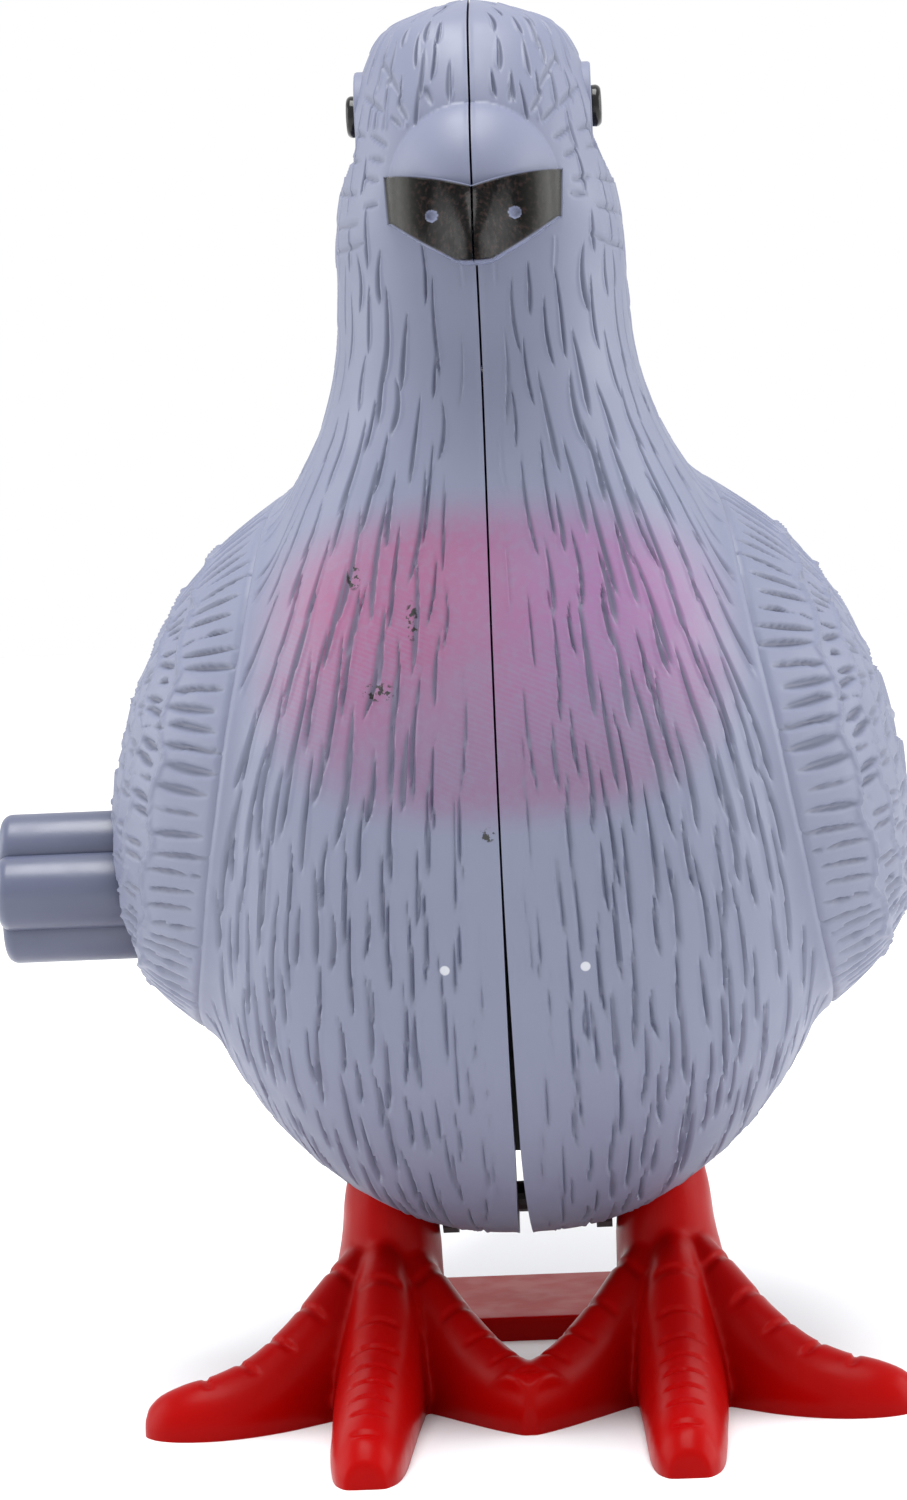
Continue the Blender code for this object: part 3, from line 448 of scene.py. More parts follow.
def shell_points(side):
    """Outer grid of one shell with its relief, and its colouring masks."""
    rng = np.random.default_rng(7 + side)
    t = body_rows()
    plain = body_grid(t, body_angles(COLUMNS))
    x, y, z = plain[..., 0], plain[..., 1], plain[..., 2]
    rim, _, _ = wing_fields(y, z)
    frontal = y < 1
    swell = cere_swell(x, z) * frontal
    points = plain.copy()
    points[..., 1] -= CERE_DEPTH * swell
    normals = grid_normals(points)
    run, girth = travelled(points, 0), travelled(points, 1)
    to_back = girth[:, -1:] - girth

    pad = np.hypot(y - EYE_Y, z - EYE_Z)
    face = frontal * smooth_step(z, 70.5, 72.0) * (1 - smooth_step(z, 81.0, 82.0))
    face = face * (1 - smooth_step(x, 5.4, 6.2))
    off_pad = smooth_step(pad, *PAD_CLEARING)
    forehead = frontal * smooth_step(z, *BROW_RANGE)
    where = (swell <= 0) * (rim < -0.35) * (1 - forehead) * off_pad * (1 - smooth_step(y, 58, 61))
    where = where * (1 - face) * smooth_step(girth, 0.5, 2.0) * smooth_step(to_back, 0.5, 1.5)
    cuts = body_strokes(points, run, girth, where, rng)
    brow = forehead * (swell <= 0) * smooth_step(girth, 0.8, 1.3) * off_pad
    brow_cuts = body_strokes(points, run, girth, brow, rng, BROW_ROW, BROW_SPACING, BROW_SCALE)
    cuts = np.where(np.abs(brow_cuts) > np.abs(cuts), brow_cuts, cuts)
    marks = face_strokes(points, frontal * (swell <= 0) * smooth_step(pad, 2.7, 2.9), rng)
    cuts = np.where(marks > 0.01, np.maximum(cuts, marks), cuts)
    height, tail_cuts = tail_relief(points, TAIL_START)
    cuts = np.where(tail_cuts > 0.01, np.maximum(cuts, tail_cuts), cuts)
    if side < 0:
        cuts *= smooth_step(np.hypot(y - WIND_Y, z - WIND_Z), 5.0, 5.4)
    height += 0.09 * np.exp(-(girth / 0.2) ** 2) * (0.75 + 0.25 * np.sin(run * 2.1) * np.sin(run * 0.7))
    height += 0.05 * np.exp(-(to_back / 0.2) ** 2)
    height -= CROWN_DROP * smooth_step(z, 84.5, 87.0)
    height += WING_FILLET * np.clip(1 + rim / 1.6, 0, 1) ** 2
    height += EYE_SWELL * np.exp(-(pad / 3.4) ** 2)
    points = points + normals * (height - cuts)[..., None]
    points[..., 2] += BELLY_RAISE * smooth_step(points[..., 2], *BELLY_RANGE)
    points[..., 0] = np.where(pad < 4.5, np.minimum(points[..., 0], EYE_PAD_FACE - 0.08), points[..., 0])
    points = open_parting(points)
    masks = {"groove": np.clip(cuts / FULL_GROOVE, 0, 1), "blush": blush_amount(points)}
    return t, points, masks


def wing_points(side):
    """Outer grid of a wing, and how far each point lies inside its outline."""
    t = np.linspace(*WING_SECTIONS, WING_GRID_ROWS)
    angles = np.linspace(*WING_ANGLES, WING_GRID_COLUMNS)
    plain = body_grid(t, angles)
    y, z = plain[..., 1], plain[..., 2]
    rim, lead, travel = wing_fields(y, z)
    points = plain.copy()
    points[..., 0] += wing_thickness(rim)
    normals = grid_normals(points)
    height, cuts = wing_relief(y, z, rim, lead, travel)
    sunk = -WING_SINK * smooth_step(rim, 0.15, -0.5)
    if side < 0:
        hub = np.hypot(y - WIND_Y, z - WIND_Z)
        height *= smooth_step(hub, KNOB_BOSS_RADIUS - 0.4, KNOB_BOSS_RADIUS + 0.6)
        cuts *= smooth_step(hub, KNOB_BOSS_RADIUS, KNOB_BOSS_RADIUS + 0.3)
    points = points + normals * (height * (rim > 0) - cuts + sunk)[..., None]
    if side < 0:
        flat = (hub < KNOB_BOSS_RADIUS + 0.2) & (points[..., 0] > KNOB_BOSS_X - KNOB_BOSS_SINK)
        points[..., 0] = np.where(flat, KNOB_BOSS_X - KNOB_BOSS_SINK, points[..., 0])
    return points, normals, rim, cuts


def inner_points(t):
    """The hollow side of a shell; past the ends of the hollow it lies flat on the parting plane."""
    angles = np.linspace(math.pi, 0, INNER_COLUMNS)
    plain = body_grid(t, angles)
    normals = grid_normals(plain)
    middle = plain.mean(axis=1, keepdims=True) * (0, 1, 1)
    outward = np.sign(((plain - middle) * normals).sum(axis=-1, keepdims=True))
    inner = plain - WALL * normals * outward
    hollow = ((t > CAVITY_FIRST) & (t < CAVITY_LAST))[:, None]
    ends = (plain[:, 0:1] * (0, 1, 1), plain[:, -1:] * (0, 1, 1))
    share = np.linspace(0.04, 0.96, INNER_COLUMNS)[None, :, None]
    flat = ends[0] * (1 - share) + ends[1] * share
    gap = parting_gap(inner[..., 2]) / 2
    inner[..., 0] = np.where(hollow, np.maximum(inner[..., 0], gap), 0)
    points = np.where(hollow[..., None], inner, flat)
    points[..., 0] = np.maximum(points[..., 0], parting_gap(points[..., 2]) / 2)
    points[..., 2] -= (CROWN_DROP + 0.1) * smooth_step(points[..., 2], 84.0, 86.5)
    points[..., 2] += BELLY_RAISE * smooth_step(points[..., 2], *BELLY_RANGE)
    return points


# --- mesh helpers ----------------------------------------------------------------------------------------
def linked_object(name, data):
    made = bpy.data.objects.new(name, data)
    bpy.context.scene.collection.objects.link(made)
    return made


def mesh_object(name, vertices, faces, smooth_degrees=40):
    """A smooth-shaded object from vertices in millimetres."""
    mesh = bpy.data.meshes.new(name)
    mesh.from_pydata((np.asarray(vertices, float) * MM).tolist(), [], faces)
    mesh.update()
    made = linked_object(name, mesh)
    mesh.shade_smooth()
    if smooth_degrees:
        mesh.set_sharp_from_angle(angle=math.radians(smooth_degrees))
    return made


def closed_rings(rings):
    """Faces that skin equally long closed rings of points, with both ends capped."""
    rings = np.asarray(rings, float)
    rows, count = rings.shape[:2]
    index = np.arange(rows * count).reshape(rows, count)
    after = np.roll(index, -1, axis=1)
    quads = np.stack([index[:-1], after[:-1], after[1:], index[1:]], axis=-1).reshape(-1, 4)
    faces = quads.tolist()
    faces.append(index[0][::-1].tolist())
    faces.append(index[-1].tolist())
    return rings.reshape(-1, 3), faces


def face_outwards(made):
    data = bmesh.new()
    data.from_mesh(made.data)
    bmesh.ops.recalc_face_normals(data, faces=data.faces)
    data.to_mesh(made.data)
    data.free()
    return made


def turned(name, profile, centre, segments=64, smooth_degrees=40):
    """Turn an (x, radius) profile about a line along X through (y, z)."""
    angles = np.arange(segments) * math.tau / segments
    rings = []
    for x, radius in profile:
        r = max(radius, 1e-3)
        rings.append([(x, centre[0] + r * math.cos(a), centre[1] + r * math.sin(a)) for a in angles])
    vertices, faces = closed_rings(rings)
    return face_outwards(mesh_object(name, vertices, faces, smooth_degrees))


def cutter_box(low, high):
    vertices = [(x, y, z) for x in (low[0], high[0]) for y in (low[1], high[1]) for z in (low[2], high[2])]
    faces = [(0, 1, 3, 2), (4, 6, 7, 5), (0, 4, 5, 1), (2, 3, 7, 6), (0, 2, 6, 4), (1, 5, 7, 3)]
    return face_outwards(mesh_object("cutter", vertices, faces, 0))


def cut_away(target, tool):
    """Cut the tool's shape out of the target and drop the tool."""
    bpy.context.view_layer.update()
    step = target.modifiers.new("cut", "BOOLEAN")
    step.operation = "DIFFERENCE"
    step.solver = "MANIFOLD"
    step.object = tool
    apply_modifiers(target)
    bpy.data.objects.remove(tool, do_unlink=True)


def apply_modifiers(made):
    bpy.context.view_layer.update()
    graph = bpy.context.evaluated_depsgraph_get()
    result = bpy.data.meshes.new_from_object(made.evaluated_get(graph))
    made.modifiers.clear()
    made.data = result


def store_mask(made, name, values):
    layer = made.data.attributes.new(name, "FLOAT", "POINT")
    layer.data.foreach_set("value", np.ascontiguousarray(values, np.float32))


# --- materials -------------------------------------------------------------------------------------------
class Nodes:
    """Short names for adding and wiring the shader nodes of one material."""

    def __init__(self, name):
        self.material = bpy.data.materials.new(name)
        self.material.use_nodes = True
        self.tree = self.material.node_tree
        self.shader = self.tree.nodes["Principled BSDF"]

    def add(self, kind, **settings):
        node = self.tree.nodes.new(kind)
        for key, value in settings.items():
            setattr(node, key, value)
        return node

    def wire(self, source, target):
        self.tree.links.new(source, target)

    def spot(self, apart, x, z, half_width, half_height):
        """1 in the middle of an ellipse on the X-Z plane, given in millimetres, and 0 beyond it."""
        across = self.maths("DIVIDE", self.maths("SUBTRACT", apart.outputs["X"], x * MM), half_width * MM)
        up = self.maths("DIVIDE", self.maths("SUBTRACT", apart.outputs["Z"], z * MM), half_height * MM)
        square = self.maths("ADD", self.maths("MULTIPLY", across, across), self.maths("MULTIPLY", up, up))
        return self.ramp(square, 0.5, 1.0, 1.0, 0.0)

    def object_place(self):
        """The shading point in the object's own coordinates."""
        return self.add("ShaderNodeTexCoord").outputs["Object"]

    def split_place(self):
        apart = self.add("ShaderNodeSeparateXYZ")
        self.wire(self.object_place(), apart.inputs["Vector"])
        return apart

    def noise(self, scale, detail=2.0, roughness=0.5):
        node = self.add("ShaderNodeTexNoise")
        node.inputs["Scale"].default_value = scale
        node.inputs["Detail"].default_value = detail
        node.inputs["Roughness"].default_value = roughness
        self.wire(self.object_place(), node.inputs["Vector"])
        return node.outputs["Fac"]

    def ramp(self, source, low, high, to_low=0.0, to_high=1.0):
        node = self.add("ShaderNodeMapRange")
        node.interpolation_type = "SMOOTHSTEP"
        for key, number in zip(("From Min", "From Max", "To Min", "To Max"), (low, high, to_low, to_high)):
            node.inputs[key].default_value = number
        self.wire(source, node.inputs["Value"])
        return node.outputs["Result"]

    def mix(self, factor, first, second):
        node = self.add("ShaderNodeMix", data_type="RGBA")
        sockets = [s for s in node.inputs if s.enabled]
        for target, given in zip(sockets, (factor, first, second)):
            if isinstance(given, tuple):
                target.default_value = (*given, 1.0)
            elif isinstance(given, float):
                target.default_value = given
            else:
                self.wire(given, target)
        return [s for s in node.outputs if s.enabled][0]

    def maths(self, operation, first, second=0.0):
        node = self.add("ShaderNodeMath", operation=operation)
        for target, given in zip(node.inputs, (first, second)):
            if isinstance(given, float):
                target.default_value = given
            else:
                self.wire(given, target)
        return node.outputs["Value"]

    def attribute(self, name):
        node = self.add("ShaderNodeAttribute")
        node.attribute_name = name
        return node.outputs["Fac"]

    def bump(self, height, strength, distance):
        node = self.add("ShaderNodeBump")
        node.inputs["Strength"].default_value = strength
        node.inputs["Distance"].default_value = distance
        self.wire(height, node.inputs["Height"])
        self.wire(node.outputs["Normal"], self.shader.inputs["Normal"])


def satin_plastic(name, colour, shade, roughness, grain=0.15, specular=0.5):
    """Moulded plastic: slight mottling, a fine grain and small changes in gloss."""
    n = Nodes(name)
    mottled = n.ramp(n.noise(160.0, 3.0), 0.3, 0.7)
    n.wire(n.mix(mottled, colour, shade), n.shader.inputs["Base Color"])
    n.wire(n.ramp(n.noise(420.0, 2.0), 0.3, 0.7, roughness - 0.04, roughness + 0.05),
           n.shader.inputs["Roughness"])
    n.bump(n.noise(2600.0, 2.0), grain, 0.00004)
    n.shader.inputs["Specular IOR Level"].default_value = specular
    return n.material


SLATE = (0.138, 0.152, 0.221)
SLATE_SHADE = (0.129, 0.142, 0.210)
# x, z, half width and half height of the dark scuffs on the breast; x, z and radius of two painted highlights
SCUFFS = ((-6.7, 46.0, 1.1, 0.6), (-8.0, 52.6, 0.5, 0.8), (-4.6, 50.0, 0.4, 1.3), (-0.7, 37.6, 0.5, 0.5))
SCUFF_BLACK = (0.012, 0.011, 0.012)
GLINT_SPOTS = ((-3.6, 29.6, 0.33), (4.6, 29.5, 0.33))
GLINT_WHITE = (0.42, 0.43, 0.47)
PINK_RIGHT = (0.204, 0.058, 0.138)
PINK_LEFT = (0.188, 0.084, 0.192)
MAUVE = (0.152, 0.080, 0.158)   # the lower edge of the spray


def shell_plastic():
    """Slate plastic, pink spray on the breast kept off the grooves' floors, painted shade in the grooves."""
    n = Nodes("shell_plastic")
    slate = n.mix(n.ramp(n.noise(70.0, 3.0), 0.3, 0.7), SLATE, SLATE_SHADE)
    apart = n.split_place()
    lean = n.ramp(apart.outputs["X"], -0.004, 0.006)
    height = n.ramp(apart.outputs["Z"], 0.040, 0.050)
    pink = n.mix(lean, PINK_RIGHT, PINK_LEFT)
    mauve = n.mix(height, MAUVE, pink)
    cloud = n.ramp(n.noise(110.0, 4.0, 0.6), 0.25, 0.62, 0.65, 1.0)
    slope = n.maths("ADD", n.maths("MULTIPLY", apart.outputs["X"], 9000.0),
                    n.maths("MULTIPLY", apart.outputs["Z"], 19500.0))
    ripple = n.maths("SINE", n.maths("ADD", slope, n.maths("MULTIPLY", n.noise(130.0, 2.0), 26.0)))
    rippled = n.ramp(n.noise(75.0, 1.0), 0.48, 0.6)
    cloud = n.maths("SUBTRACT", cloud, n.maths("MULTIPLY", rippled, n.ramp(ripple, -0.6, 1.0, 0.0, 0.22)))
    speckle = n.ramp(n.noise(2400.0, 2.0), 0.25, 0.6, 0.75, 1.0)
    clear = n.ramp(n.attribute("groove"), 0.35, 1.0, 1.0, 0.35)
    amount = n.maths("MULTIPLY", n.maths("MULTIPLY", n.attribute("blush"), cloud),
                     n.maths("MULTIPLY", clear, speckle))
    sprayed = n.mix(n.maths("MULTIPLY", amount, 0.95), slate, mauve)
    # painted shade: the grooves' colour darkens towards a dim slate, standing in for the shade that falls in
    # them
    painted_groove_shade = n.ramp(n.attribute("groove"), 0.2, 1.0, 0.0, 0.22)
    colour = n.mix(painted_groove_shade, sprayed, tuple(0.35 * c for c in SLATE))
    forward = n.ramp(apart.outputs["Y"], 0.004, 0.008, 1.0, 0.0)
    for x, z, half_width, half_height in SCUFFS:
        patch = n.spot(apart, x, z, half_width, half_height)
        flecks = n.ramp(n.noise(3300.0, 2.0), 0.5, 0.58)
        colour = n.mix(n.maths("MULTIPLY", forward, n.maths("MULTIPLY", patch, flecks)), colour, SCUFF_BLACK)
    # painted highlights: pale spots put into the colour where two small pips on the belly catch the light
    for x, z, radius in GLINT_SPOTS:
        colour = n.mix(n.maths("MULTIPLY", forward, n.spot(apart, x, z, radius, radius)), colour, GLINT_WHITE)
    n.wire(colour, n.shader.inputs["Base Color"])
    n.wire(n.ramp(n.noise(300.0, 2.0), 0.3, 0.7, 0.46, 0.56), n.shader.inputs["Roughness"])
    n.bump(n.noise(1900.0, 3.0), 0.12, 0.00005)
    return n.material


def beak_paint():
    """Thin dark gloss paint, with painted brownish glints and a painted paler reflection towards the outer
    ends.
    """
    n = Nodes("beak_paint")
    apart = n.split_place()
    outward = n.maths("ABSOLUTE", apart.outputs["X"])
    # painted reflection: the paint turns a paler olive grey towards the outer ends, where the gloss reflects
    # the light
    end_reflection = n.ramp(outward, 0.0024, 0.0056)
    # painted highlights: brownish flecks of glint in the dark paint
    dark = n.mix(n.ramp(n.noise(3600.0, 3.0), 0.45, 0.75), (0.002, 0.002, 0.002), (0.020, 0.012, 0.011))
    painted = n.mix(end_reflection, dark, (0.046, 0.046, 0.043))
    bare = n.attribute("bare")
    n.wire(n.mix(bare, painted, SLATE), n.shader.inputs["Base Color"])
    n.wire(n.ramp(n.noise(1500.0, 2.0), 0.3, 0.7, 0.2, 0.34), n.shader.inputs["Roughness"])
    n.bump(n.noise(2300.0, 2.0), 0.25, 0.00006)
    n.shader.inputs["Specular IOR Level"].default_value = 0.08
    return n.material


def steel(name, colour, roughness):
    n = Nodes(name)
    n.wire(n.mix(n.ramp(n.noise(500.0, 2.0), 0.3, 0.7), colour, tuple(0.8 * c for c in colour)),
           n.shader.inputs["Base Color"])
    n.shader.inputs["Metallic"].default_value = 1.0
    n.wire(n.ramp(n.noise(900.0, 2.0), 0.3, 0.7, roughness - 0.06, roughness + 0.06),
           n.shader.inputs["Roughness"])
    n.bump(n.noise(3000.0, 2.0), 0.1, 0.00002)
    return n.material


# --- pieces ----------------------------------------------------------------------------------------------
def finish_piece(piece, material, body, slot, *replaced):
    """Finish a piece: its material, the body it rides on and the CAD nodes it stands for; slot is not used.
    """
    piece.data.materials.clear()
    piece.data.materials.append(material)
    if replaced:
        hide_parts(*replaced)
    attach(piece, body)
    return piece


def side_name(side):
    return "right" if side < 0 else "left"


def build_shell(side, material):
    name = f"body_shell_{side_name(side)}"
    t, outer, masks = shell_points(side)
    rings = np.concatenate([outer, inner_points(t)], axis=1)
    rings[..., 0] *= side
    vertices, faces = closed_rings(rings)
    shell = mesh_object(f"{name}_skin", vertices, faces, 50)
    for key, values in masks.items():
        store_mask(shell, key, np.hstack([values, np.zeros((len(t), INNER_COLUMNS))]).ravel())
    face_outwards(shell)
    cut_away(shell, cutter_box(*BELLY_OPENING))
    return finish_piece(shell, material, "root", "slate_shell", name)


def build_wing(side, material):
    """A wing as a closed slab whose rim dips under the shell's surface."""
    points, normals, rim, cuts = wing_points(side)
    under = points - normals * WING_SLAB
    under[..., 0] = np.minimum(under[..., 0], points[..., 0] - 0.3)
    rows, columns = rim.shape
    keep = rim > -WING_SKIRT
    cell = keep[:-1, :-1] & keep[1:, :-1] & keep[:-1, 1:] & keep[1:, 1:]
    data = bmesh.new()
    mask = data.verts.layers.float.new("groove")
    made = {}

    def corner(i, j, layer):
        if (i, j, layer) not in made:
            spot = (points if layer else under)[i, j]
            vert = data.verts.new((side * spot[0] * MM, spot[1] * MM, spot[2] * MM))
            vert[mask] = min(cuts[i, j] / FULL_GROOVE, 1) if layer else 0
            made[i, j, layer] = vert
        return made[i, j, layer]

    for i, j in zip(*np.nonzero(cell)):
        ring = ((i, j), (i, j + 1), (i + 1, j + 1), (i + 1, j))
        data.faces.new([corner(a, b, 1) for a, b in ring])
        data.faces.new([corner(a, b, 0) for a, b in reversed(ring)])
        sides = (((i, j), (i, j + 1), i > 0 and cell[i - 1, j]),
                 ((i, j + 1), (i + 1, j + 1), j + 1 < columns - 1 and cell[i, j + 1]),
                 ((i + 1, j + 1), (i + 1, j), i + 1 < rows - 1 and cell[i + 1, j]),
                 ((i + 1, j), (i, j), j > 0 and cell[i, j - 1]))
        for (a, b, shared) in sides:
            if not shared:
                data.faces.new([corner(*b, 1), corner(*a, 1), corner(*a, 0), corner(*b, 0)])
    mesh = bpy.data.meshes.new(f"wing_{side_name(side)}")
    bmesh.ops.recalc_face_normals(data, faces=data.faces)
    data.to_mesh(mesh)
    data.free()
    wing = linked_object(mesh.name, mesh)
    mesh.shade_smooth()
    return finish_piece(wing, material, "root", "slate_shell")


BEAK_HALF = 5.1               # half width of the beak at its top
BEAK_TOP = (74.75, 75.7)      # z of the beak's top edge at the middle and at the outer end
BEAK_END_Z = 73.05            # z of the lower outer corner
BEAK_TIP_Z = 70.6
BEAK_TIP_HALF = 1.1           # half width of the blunt tip
BEAK_BACK = -5.0              # y that the beak's walls run back to, inside the head
BEAK_TIP_RISE = 0.12          # how far the lower edge curves up across the tip
BEAK_TOP_BOW = 0.12
BEAK_SEAM = 0.07              # x of the beak's inner edge, beside the parting line
NOSTRIL = (2.4, 73.25, 0.42)  # x, z and radius
NOSTRIL_DEPTH = 0.28


def beak_surface(x, z):
    """y of the beak's front face: a ridge down the middle that leans forward to the tip."""
    drop = smooth_step(z, 75.5, 71.2)
    flank = 5.6 + 4.85 * np.clip(1 - (x / 5.15) ** 2, 0, 1) ** 0.5
    ridge = (0.2 + 2.3 * drop) * np.exp(-(x / 1.5) ** 2)
    hollow = 0.3 * np.exp(-((x - 2.5) / 0.9) ** 2) * smooth_step(z, 71.5, 73.5)
    return -(flank + ridge - hollow)


def build_beak(side, material):
    """Half of the beak: a curved painted face with a rounded edge and plain walls behind it."""
    across, down = 72, 56
    u = np.linspace(0, 1, across)[None, :]
    v = np.linspace(0, 1, down)[:, None]
    x = BEAK_SEAM + (BEAK_HALF - BEAK_SEAM) * u
    top = BEAK_TOP[0] + (BEAK_TOP[1] - BEAK_TOP[0]) * u + BEAK_TOP_BOW * np.sin(math.pi * u)
    slope = np.clip((x - BEAK_TIP_HALF) / (BEAK_HALF - 0.2 - BEAK_TIP_HALF), 0, 1)
    tip_curve = BEAK_TIP_RISE * np.clip(x / BEAK_TIP_HALF, 0, 1) ** 2
    bottom = BEAK_TIP_Z + tip_curve + (BEAK_END_Z - BEAK_TIP_Z - BEAK_TIP_RISE) * slope
    z = top + (bottom - top) * v
    x = x * (1 - 0.035 * v * u)
    y = beak_surface(x, z)
    hole_x, hole_z, radius = NOSTRIL
    pit = np.clip(1 - np.hypot(x - hole_x, z - hole_z) / radius, 0, 1)
    y = y + NOSTRIL_DEPTH * smooth_step(pit, 0.0, 0.7)
    front = np.stack([x, y, z], axis=-1)
    loop = ([(0, j) for j in range(across)] + [(i, across - 1) for i in range(1, down)]
            + [(down - 1, j) for j in range(across - 2, -1, -1)] + [(i, 0) for i in range(down - 2, 0, -1)])
    rim = np.array([front[i, j] for i, j in loop])
    middle = rim.mean(axis=0)
    out = rim - middle
    out[:, 1] = 0
    out /= np.maximum(np.linalg.norm(out, axis=1, keepdims=True), 1e-6)
    out[rim[:, 0] < 0.1] = 0
    vertices = [tuple(p) for p in front.reshape(-1, 3)]
    bare = list((pit > 0.12).astype(float).ravel())
    faces = [(i * across + j, i * across + j + 1, (i + 1) * across + j + 1, (i + 1) * across + j)
             for i in range(down - 1) for j in range(across - 1)]
    previous = [i * across + j for i, j in loop]
    for push, back, bareness in ((0.06, 0.05, 0.0), (0.20, 0.12, 1.0), (0.24, None, 1.0)):
        ring = rim + out * push
        ring[:, 1] = BEAK_BACK if back is None else ring[:, 1] + back
        start = len(vertices)
        vertices += [tuple(p) for p in ring]
        bare += [bareness] * len(ring)
        here = list(range(start, start + len(ring)))
        faces += [(previous[k], previous[(k + 1) % len(ring)], here[(k + 1) % len(ring)], here[k])
                  for k in range(len(ring))]
        previous = here
    faces.append(tuple(previous))
    vertices = [(side * a, b, c) for a, b, c in vertices]
    beak = mesh_object(f"beak_{side_name(side)}", vertices, faces, 60)
    store_mask(beak, "bare", bare)
    face_outwards(beak)
    return finish_piece(beak, material, "root", "slate_shell")


EYE_BEAD_RADIUS = (EYE_HIGH[2] - EYE_LOW[2]) / 2
EYE_TIP = EYE_HIGH[0]
EYE_ROUNDING = 0.34


def build_eyes(pad_material, bead_material):
    """A flat round pad with a softened edge on each side of the head, and a glossy button in it."""
    for side in (-1, 1):
        name = side_name(side)
        pad_profile = ((4.6, EYE_PAD_RADIUS), (EYE_PAD_FACE - 0.16, EYE_PAD_RADIUS),
                       (EYE_PAD_FACE - 0.04, EYE_PAD_RADIUS - 0.05), (EYE_PAD_FACE, EYE_PAD_RADIUS - 0.16),
                       (EYE_PAD_FACE, EYE_BEAD_RADIUS + 0.22), (EYE_PAD_FACE - 0.35, EYE_BEAD_RADIUS + 0.16),
                       (EYE_PAD_FACE - 0.35, 0.02))
        pad = turned(f"eye_pad_{name}", [(side * a, r) for a, r in pad_profile], (EYE_Y, EYE_Z), 72)
        finish_piece(pad, pad_material, "root", "slate_shell")
        steps = np.linspace(0, math.pi / 2, 10)
        crown = [(EYE_TIP - EYE_ROUNDING + EYE_ROUNDING * math.sin(a),
                  EYE_BEAD_RADIUS - EYE_ROUNDING + EYE_ROUNDING * math.cos(a)) for a in steps]
        bead_profile = [(EYE_PAD_FACE - 0.3, EYE_BEAD_RADIUS - 0.05), *crown,
                        (EYE_TIP + 0.03, EYE_BEAD_RADIUS * 0.4), (EYE_TIP + 0.04, 0.01)]
        bead = turned(f"eye_button_{name}", [(side * a, r) for a, r in bead_profile], (EYE_Y, EYE_Z), 72)
        finish_piece(bead, bead_material, "root", "eye_bead", f"eye_{name}")


KNOB_LOBE = 4.75
KNOB_GROOVE = 3.3
KNOB_LOBES = 4
KNOB_ROUNDING = 0.75


def build_knob(boss_material, knob_material):
    boss_profile = ((-18.0, KNOB_BOSS_RADIUS), (-KNOB_BOSS_X + 0.25, KNOB_BOSS_RADIUS),
                    (-KNOB_BOSS_X + 0.07, KNOB_BOSS_RADIUS - 0.07), (-KNOB_BOSS_X, KNOB_BOSS_RADIUS - 0.25),
                    (-KNOB_BOSS_X, 1.5), (-KNOB_BOSS_X + 1.0, 1.45), (-KNOB_BOSS_X + 1.0, 0.02))
    boss = turned("knob_boss", boss_profile, (WIND_Y, WIND_Z), 96)
    finish_piece(boss, boss_material, "root", "slate_shell")
    outer, inner = KNOB_LOW[0], KNOB_HIGH[0]
    angles = np.arange(192) * math.tau / 192
    lobes = np.abs(np.cos(KNOB_LOBES * angles / 2)) ** 0.85
    steps = np.linspace(0, math.pi / 2, 9)
    stations = [(outer + KNOB_ROUNDING * (1 - math.sin(a)), KNOB_ROUNDING * (1 - math.cos(a)))
                for a in steps[::-1]]
    stations += [(outer + 3.0, 0.0), (inner - 0.35, 0.0), (inner - 0.1, 0.1), (inner, 0.35)]
    rings = []
    for x, shrink in [(outer, 2.6)] + stations:
        radii = np.maximum(KNOB_GROOVE + (KNOB_LOBE - KNOB_GROOVE) * lobes - shrink, 0.3)
        rings.append([(x, WIND_Y + r * math.cos(a), WIND_Z + r * math.sin(a)) for r, a in zip(radii, angles)])
    vertices, faces = closed_rings(rings)
    knob = face_outwards(mesh_object("knob_body", vertices, faces, 50))
    finish_piece(knob, knob_material, "winding", "knob_plastic", "winding_knob")


# --- feet ------------------------------------------------------------------------------------------------
# x, y, half width, height of a toe's ridge, from inside the leg to the tip, as in the CAD model except at
# the inner toe's tip
OUTER_TOE = ((9.6, 11.9, 2.9, 10.0), (11.2, 10.2, 2.8, 9.4), (12.8, 8.6, 2.7, 7.9), (14.6, 6.9, 2.6, 6.1),
             (16.8, 5.1, 2.6, 4.5), (19.2, 3.9, 2.5, 3.6), (21.3, 3.7, 2.3, 3.1), (22.8, 4.1, 1.7, 2.4),
             (23.6, 4.4, 0.8, 1.6))
MIDDLE_TOE = ((9.2, 11.0, 2.8, 10.4), (9.2, 8.2, 2.8, 9.2), (9.3, 5.6, 2.8, 6.9), (9.4, 2.0, 2.7, 5.2),
              (9.4, -3.0, 2.5, 4.3), (9.4, -7.6, 2.3, 3.6), (9.4, -10.2, 1.9, 2.8), (9.4, -11.5, 1.2, 1.6))
INNER_TOE = ((9.0, 11.8, 2.8, 10.2), (6.8, 10.4, 2.7, 9.0), (4.6, 8.3, 2.5, 6.6), (2.4, 5.6, 2.4, 4.8),
             (0.7, 3.5, 2.3, 4.0), (-0.4, 2.4, 2.3, 3.8), (-1.25, 1.5, 2.2, 3.5))
HEEL_TOE = ((9.4, 12.4, 3.4, 6.4), (9.4, 17.5, 3.1, 4.0), (9.4, 23.5, 2.8, 2.6), (9.4, 30.0, 2.6, 2.2),
            (9.4, 36.4, 2.4, 2.0), (9.4, 38.8, 1.4, 1.4))
LEG = ((8.8, 13.0, 14.7, 1.5, 1.5), (8.8, 13.0, 14.1, 2.4, 2.4), (8.8, 13.0, 12.2, 2.9, 2.9),
       (8.8, 13.0, 9.6, 3.2, 3.1), (9.1, 13.1, 6.6, 3.6, 3.4), (9.4, 13.4, 3.6, 4.2, 3.8),
       (9.5, 13.6, -1.2, 4.7, 4.2))
